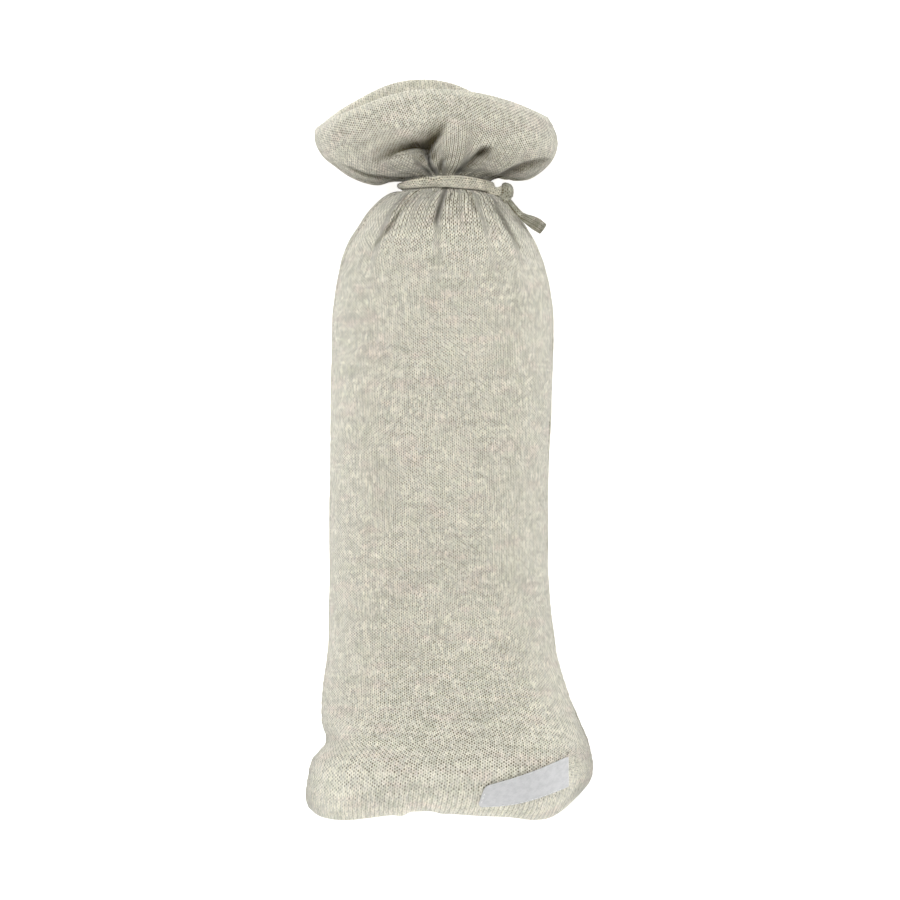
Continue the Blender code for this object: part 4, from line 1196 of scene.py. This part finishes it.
def thread_material():
    """White sewing thread with a fine ply."""
    material, nodes, shader = new_material("sewing thread", {"Roughness": 0.7})
    ply = nodes.noise(nodes.read("ShaderNodeTexCoord", "Object"), PLY_SCALE)
    nodes.feed(shader["Base Color"], nodes.mix(ply, THREAD_GREY, THREAD_WHITE))
    return material


# ================================================================ the tie
def strip_tree():
    """A knitted strip along a path: its points carry centre, sideways, outward and sizes."""
    tree, nodes, given, result = new_group(
        "GeometryNodeTree", "knitted strip",
        [("Path", "NodeSocketGeometry", None), ("Sides", "NodeSocketInt", STRIP_SIDES),
         ("Squareness", "NodeSocketFloat", STRIP_SQUARENESS),
         ("Closed ends", "NodeSocketBool", True), ("Wale", "NodeSocketFloat", WALE * MM),
         ("Course", "NodeSocketFloat", COURSE * MM), ("Pull", "NodeSocketFloat", BAND_PULL),
         ("Cloth", "NodeSocketMaterial", None)],
        [("Strip", "NodeSocketGeometry")])

    def named(name, data_type="FLOAT"):
        return nodes.read("GeometryNodeInputNamedAttribute", "Attribute", {"Name": name},
                          data_type=data_type)

    def store(geometry, name, value, data_type="FLOAT", domain="POINT"):
        return nodes.read("GeometryNodeStoreNamedAttribute", "Geometry",
                          {"Geometry": geometry, "Name": name, "Value": value},
                          data_type=data_type, domain=domain)

    def squared(value):
        size = nodes.math("ABSOLUTE", value) ** (2.0 / given["Squareness"])
        return nodes.math("SIGN", value) * size

    path = nodes.read("GeometryNodeMeshToCurve", "Curve", {"Mesh": given["Path"]})
    path = store(path, "along", nodes.read("GeometryNodeSplineParameter", "Length"))
    ring = nodes.read("GeometryNodeCurvePrimitiveCircle", "Curve",
                      {"Resolution": given["Sides"], "Radius": 1.0})
    for name, place in zip(("ring_x", "ring_y"),
                           nodes.split(nodes.read("GeometryNodeInputPosition"))):
        ring = store(ring, name, place)
    skin = nodes.read("GeometryNodeCurveToMesh", "Mesh", {
        "Curve": path, "Profile Curve": ring, "Fill Caps": given["Closed ends"]})
    wide = squared(named("ring_x")) * named("half_width")
    thick = squared(named("ring_y")) * named("half_thickness")
    point = named("centre", "FLOAT_VECTOR")
    for way, size in (("sideways", wide), ("outward", thick)):
        point = nodes.vector("ADD", point,
                             nodes.vector("SCALE", named(way, "FLOAT_VECTOR"), size))
    skin = nodes.read("GeometryNodeSetPosition", 0, {"Geometry": skin, "Position": point})
    stitch = nodes.joined((wide + thick) / given["Wale"], named("along") / given["Course"])
    skin = store(skin, "stitches", stitch, "FLOAT2", "CORNER")
    for name in ("pull", "open"):
        skin = store(skin, name, given["Pull"])
    for finish in ("GeometryNodeSetShadeSmooth", "GeometryNodeRealizeInstances"):
        skin = nodes.read(finish, 0, {"Geometry": skin})
    skin = nodes.read("GeometryNodeSetMaterial", 0,
                      {"Geometry": skin, "Material": given["Cloth"]})
    nodes.feed(result["Strip"], skin)
    return tree


def socket_id(tree, name):
    return next(item.identifier for item in tree.interface.items_tree
                if item.name == name and item.in_out == "INPUT")


def grown(name, host, tree, values):
    """The plain mesh that a node tree makes on a host object, as a new object."""
    modifier = host.modifiers.new("grow", "NODES")
    modifier.node_group = tree
    for key, value in values.items():
        modifier[socket_id(tree, key)] = value
    host.update_tag()
    bpy.context.view_layer.update()
    graph = bpy.context.evaluated_depsgraph_get()
    mesh = bpy.data.meshes.new_from_object(host.evaluated_get(graph))
    mesh.name = name
    host.modifiers.remove(modifier)
    bpy.data.objects.remove(host, do_unlink=True)
    return new_object(name, mesh)


PATH_VALUES = ("centre", "sideways", "outward", "half_width", "half_thickness")


def strip(name, tree, paths, material, closed=False, sides=STRIP_SIDES, pull=BAND_PULL):
    """Knitted strips along paths, which give the values named above for each point."""
    path = {key: np.concatenate([one[key] for one in paths]) for key in paths[0]}
    edges = []
    start = 0
    for one in paths:
        count = len(one["centre"])
        edges.extend((start + place, start + place + 1) for place in range(count - 1))
        if closed:
            edges.append((start + count - 1, start))
        start += count
    mesh = bpy.data.meshes.new(name + " path")
    mesh.from_pydata((path["centre"] * MM).tolist(), edges, [])
    add_values(mesh, {key: path[key] if key in ("sideways", "outward") else path[key] * MM
                      for key in PATH_VALUES})
    item = grown(name, new_object(name + " path", mesh), tree,
                 {"Cloth": material, "Closed ends": not closed, "Sides": sides, "Pull": pull})
    for helper in (*PATH_VALUES, "along", "ring_x", "ring_y"):
        if helper in item.data.attributes:
            item.data.attributes.remove(item.data.attributes[helper])
    turn_outwards(item.data)
    return item


def band_path():
    """The tie's way round the neck, leaning over itself once at the front."""
    angle = TURN * np.arange(BAND_STEPS) / BAND_STEPS
    station = np.full_like(angle, TIE_STATION)
    centre = plain_surface(angle, station)
    outward = surface_normal(angle, station)
    up = plain_surface(angle, station + 1.0) - plain_surface(angle, station - 1.0)
    up = unit(up - outward * np.sum(up * outward, axis=-1, keepdims=True))
    turn = np.degrees(angle)
    from_crossing = (turn - CROSSING_ANGLE) / CROSSING_WIDTH
    near = np.exp(-from_crossing ** 2)
    lean = CROSSING_LEAN * from_crossing * near
    cosine, sine = np.cos(lean)[:, None], np.sin(lean)[:, None]
    half_width, standoff = (np.interp(turn, column(TIE_WIDTHS, "angle"),
                                      column(TIE_WIDTHS, name))
                            for name in ("half_width", "standoff"))
    standoff = standoff + TIE_HALF_THICKNESS + CROSSING_SWELL * near
    return {
        "centre": centre + outward * standoff[:, None],
        "sideways": up * cosine + outward * sine,
        "outward": outward * cosine - up * sine,
        "half_width": half_width,
        "half_thickness": TIE_HALF_THICKNESS + CROSSING_THICKENS * CROSSING_SWELL * near,
    }


def lying_path(centre, half_width, half_thickness):
    """A path whose strip lies flat, as seen from above."""
    ahead = unit(np.gradient(centre, axis=0))
    sideways = unit(np.cross(ahead, UP))
    return {"centre": centre, "sideways": sideways, "outward": np.cross(sideways, ahead),
            "half_width": half_width, "half_thickness": half_thickness}


def table_path(places):
    """The path of a strip that lies as its table says."""
    knots = np.arange(len(places), dtype=float)
    at = np.linspace(0.0, len(places) - 1.0, STRIP_STEPS)
    x, y, z, *sizes = (through(knots, column(places, name), at)
                       for name in STRIP_COLUMNS.split())
    return lying_path(np.stack([x, y, z], axis=1), *sizes)


# ================================================================ the label
# The cloth's point that is seen at a place is found from a first guess, by shares of what is
# still missing.
PLACE_START = 20.0
PLACE_ROUNDS = 80
PLACE_SHARE = 0.5
PLACE_LOWEST = 0.05


def place_on_face(x, y):
    """Angle and station of the face's point that is seen at x, y."""
    station = y - BOTTOM_EDGE[0]["y"] + PLACE_START
    angle = np.full_like(station, math.pi / 2.0)
    for _ in range(PLACE_ROUNDS):
        left = section("left", station)
        right = section("right", station)
        reach = (x - (left + right) / 2.0) / ((right - left) / 2.0)
        across = np.sign(reach) * np.abs(reach) ** (ROUNDNESS / 2.0)
        angle = np.arccos(np.clip(across, -1.0, 1.0))
        found = plain_surface(angle, station)
        station = np.clip(station + PLACE_SHARE * (y - found[..., 1]), PLACE_LOWEST, RIM_STATION)
    return angle, station


def label_surface(across, up, height):
    """Points of the label's sheet, height above the cloth."""
    corner = {name: np.array(place) for name, place in LABEL_CORNERS.items()}
    across = across[..., None]
    up = up[..., None]
    sag = np.sin(math.pi * across) * np.array([0.0, 1.0])
    low = (corner["bottom_left"] * (1.0 - across) + corner["bottom_right"] * across
           - LABEL_BOTTOM_SAG * sag)
    high = (corner["top_left"] * (1.0 - across) + corner["top_right"] * across
            - LABEL_TOP_SAG * sag)
    flat = low * (1.0 - up) + high * up
    angle, station = place_on_face(flat[..., 0], flat[..., 1])
    moved, lifted, _ = cloth_move(angle, station, np.full_like(angle, FAR_FROM_SEAM))
    return cloth_point(angle, station, moved + height, lifted, np.zeros_like(station))


def rounded(across, up):
    """The label's shares with its corners drawn in to rounds."""
    x, y = across * LABEL_LENGTH, up * LABEL_HEIGHT
    radius = np.where(across < 0.5, LABEL_CORNER_ROUND["left"], LABEL_CORNER_ROUND["right"])
    from_x = np.maximum(radius - np.minimum(x, LABEL_LENGTH - x), 0.0)
    from_y = np.maximum(radius - np.minimum(y, LABEL_HEIGHT - y), 0.0)
    reach = np.maximum(from_x, from_y) / np.maximum(np.hypot(from_x, from_y), 1e-6)
    inward = np.where(np.minimum(from_x, from_y) > 0.0, 1.0 - reach, 0.0)
    x = x + np.where(across < 0.5, 1.0, -1.0) * from_x * inward
    y = y + np.where(up < 0.5, 1.0, -1.0) * from_y * inward
    return x / LABEL_LENGTH, y / LABEL_HEIGHT


def seam_stitches():
    """Paths of the short stitches that hold the label."""
    paths = []
    for seam in LABEL_SEAMS:
        run = math.hypot((seam["to_across"] - seam["from_across"]) * LABEL_LENGTH,
                         (seam["to_up"] - seam["from_up"]) * LABEL_HEIGHT)
        for stitch in range(int(run / STITCH_PITCH)):
            step = np.linspace(0.0, 1.0, STITCH_STEPS)
            share = (stitch * STITCH_PITCH + STITCH_LENGTH * step) / run
            across = seam["from_across"] + (seam["to_across"] - seam["from_across"]) * share
            up = seam["from_up"] + (seam["to_up"] - seam["from_up"]) * share
            height = (LABEL_GAP + LABEL_THICKNESS - STITCH_SINK
                      + STITCH_ARCH * np.sin(math.pi * step))
            size = np.full(STITCH_STEPS, STITCH_RADIUS)
            paths.append(lying_path(label_surface(across, up, height), size, size))
    return paths


def label(name, material):
    """The woven label, blank, lying on the face at the lower right."""
    across, up = np.meshgrid(np.linspace(0.0, 1.0, LABEL_COLUMNS + 1),
                             np.linspace(0.0, 1.0, LABEL_ROWS + 1))
    edge = np.minimum(np.minimum(across, 1.0 - across) * LABEL_LENGTH,
                      np.minimum(up, 1.0 - up) * LABEL_HEIGHT)
    across, up = rounded(across, up)
    rounding = LABEL_EDGE_SHARE + (1.0 - LABEL_EDGE_SHARE) * quarter_round(edge / LABEL_EDGE_ROUND)
    ripple = np.sin(across * LABEL_RIPPLE_ACROSS + up * LABEL_RIPPLE_UP) * up
    puff = LABEL_PUFF * smooth_step(edge, *LABEL_PUFF_FROM) + LABEL_RIPPLE * ripple
    over = label_surface(across, up, LABEL_GAP + LABEL_THICKNESS * rounding + puff)
    under = label_surface(across, up, np.full_like(across, LABEL_GAP))
    ids = np.arange(across.size).reshape(across.shape)
    under_ids = ids + across.size
    faces = grid_faces(ids) + grid_faces(under_ids)
    for end in (0, -1):
        faces += grid_faces(np.stack([ids[end], under_ids[end]]))
        faces += grid_faces(np.stack([ids[:, end], under_ids[:, end]]))
    points = np.concatenate([over.reshape(-1, 3), under.reshape(-1, 3)])
    stitches = np.stack([across * LABEL_LENGTH, up * LABEL_HEIGHT], axis=-1).reshape(-1, 2)
    return closed_mesh(name, points, faces, np.concatenate([stitches, stitches]), material)


# ================================================================ stage, light and camera
# Metres and watts.
CLIP = (0.05, 20.0)
FLOOR_REACH = 4.0
FLOOR_DROP = 0.0002          # the floor lies this far under the cover
FLOOR_GLOW = 0.55            # keeps the paper floor white beside the cover
SKY = 0.46
LIGHTS_AIM = (0.0, 0.0, 0.04)
LIGHTS = table("name place size power", (
    ("top light", (-0.35, 0.8, 1.75), (1.6, 0.9), 19.3),
    ("left light", (-1.35, 0.4, 0.42), (0.5, 1.6), 6.0),
    ("right light", (1.35, 0.4, 0.42), (0.5, 1.6), 10.0),
    ("foot light", (0.0, -1.5, 0.45), (1.4, 0.5), 7.5),
))


def make_camera():
    """A long lens straight above the cover, so far up that nothing is foreshortened."""
    data = bpy.data.cameras.new("camera")
    data.sensor_width = SENSOR
    data.lens = SENSOR * CAMERA_ABOVE_SEAMS / VIEW_WIDTH
    data.clip_start, data.clip_end = CLIP
    camera = new_object("camera", data)
    camera.location = Vector((*VIEW_CENTRE, SEAM_HEIGHT + CAMERA_ABOVE_SEAMS)) * MM
    bpy.context.scene.camera = camera


def make_floor():
    mesh = bpy.data.meshes.new("floor")
    mesh.from_pydata([(x * FLOOR_REACH, y * FLOOR_REACH, -FLOOR_DROP)
                      for x, y in ((-1, -1), (1, -1), (1, 1), (-1, 1))], [], [(0, 1, 2, 3)])
    material, _, _ = new_material("pale floor", {
        "Base Color": (0.93, 0.93, 0.93, 1.0), "Roughness": 0.9, "Specular IOR Level": 0.0,
        "Emission Color": WHITE, "Emission Strength": FLOOR_GLOW})
    mesh.materials.append(material)
    new_object("floor", mesh)


def make_light():
    """An even sky and four rectangular soft lights that face the cover's middle."""
    world = bpy.data.worlds.new("studio")
    world.use_nodes = True
    sky = world.node_tree.nodes["Background"].inputs
    sky["Color"].default_value = WHITE
    sky["Strength"].default_value = SKY
    bpy.context.scene.world = world
    for row in LIGHTS:
        data = bpy.data.lights.new(row["name"], "AREA")
        data.shape = "RECTANGLE"
        data.size, data.size_y = row["size"]
        data.energy = row["power"]
        light = new_object(row["name"], data)
        light.location = row["place"]
        light.rotation_mode = "QUATERNION"
        light.rotation_quaternion = (Vector(LIGHTS_AIM) - light.location).to_track_quat("-Z", "Y")
    settings = bpy.context.scene.view_settings
    settings.view_transform = "Standard"
    settings.look = "None"
    settings.exposure = 0.0


# ================================================================ build
make_camera()
make_light()
make_floor()

jersey = jersey_group()
melange = melange_group()
# the knot's lump and the free end wear a copy of the tie's yarn darkened as painted shade
body_cloth, tie_cloth, tie_cloth_in_painted_shade = (
    knit_material(name, jersey, melange, yarn, hole_depth, relief)
    for name, yarn, hole_depth, relief in (("oatmeal jersey", OATMEAL, 1.0, 0.30),
                                           ("oatmeal tie", TIE_OATMEAL, 0.85, 0.30),
                                           ("oatmeal tie in painted shade", TIE_OATMEAL_PAINTED_SHADE, 0.85, 0.35)))

front = panel("front_cloth", True, FRONT_COLUMNS, body_cloth)
back = panel("back_cloth", False, BACK_COLUMNS, body_cloth)
knitted_strip = strip_tree()
band = strip("tie_band_strip", knitted_strip, [band_path()], tie_cloth, closed=True)
# the free end and the knot's lump in the tie's yarn with painted shade
tail = strip("tie_free_end", knitted_strip, [table_path(TAIL)], tie_cloth_in_painted_shade, pull=TAIL_PULL)
lump = strip("tie_knot_lump", knitted_strip, [table_path(KNOT_WRAP)], tie_cloth_in_painted_shade)
strand = strip("tie_strand", knitted_strip, [table_path(KNOT_STRAND)], tie_cloth)
ribbon = label("woven_label", label_material())
sewing = strip("label_sewing", knitted_strip, seam_stitches(), thread_material(),
               sides=STITCH_SIDES)

for node, slot_name, pieces in (("front_panel", "cloth", [front]),
                                ("back_panel", "cloth", [back]),
                                ("tie_band", "tie_cloth", [band]),
                                ("tie_tail", "tie_cloth", [tail]),
                                ("tie_knot", "tie_cloth", [lump, strand]),
                                ("label", "label_cloth", [ribbon, sewing])):
    for piece in pieces:
        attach(piece, "root")
        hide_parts(node)
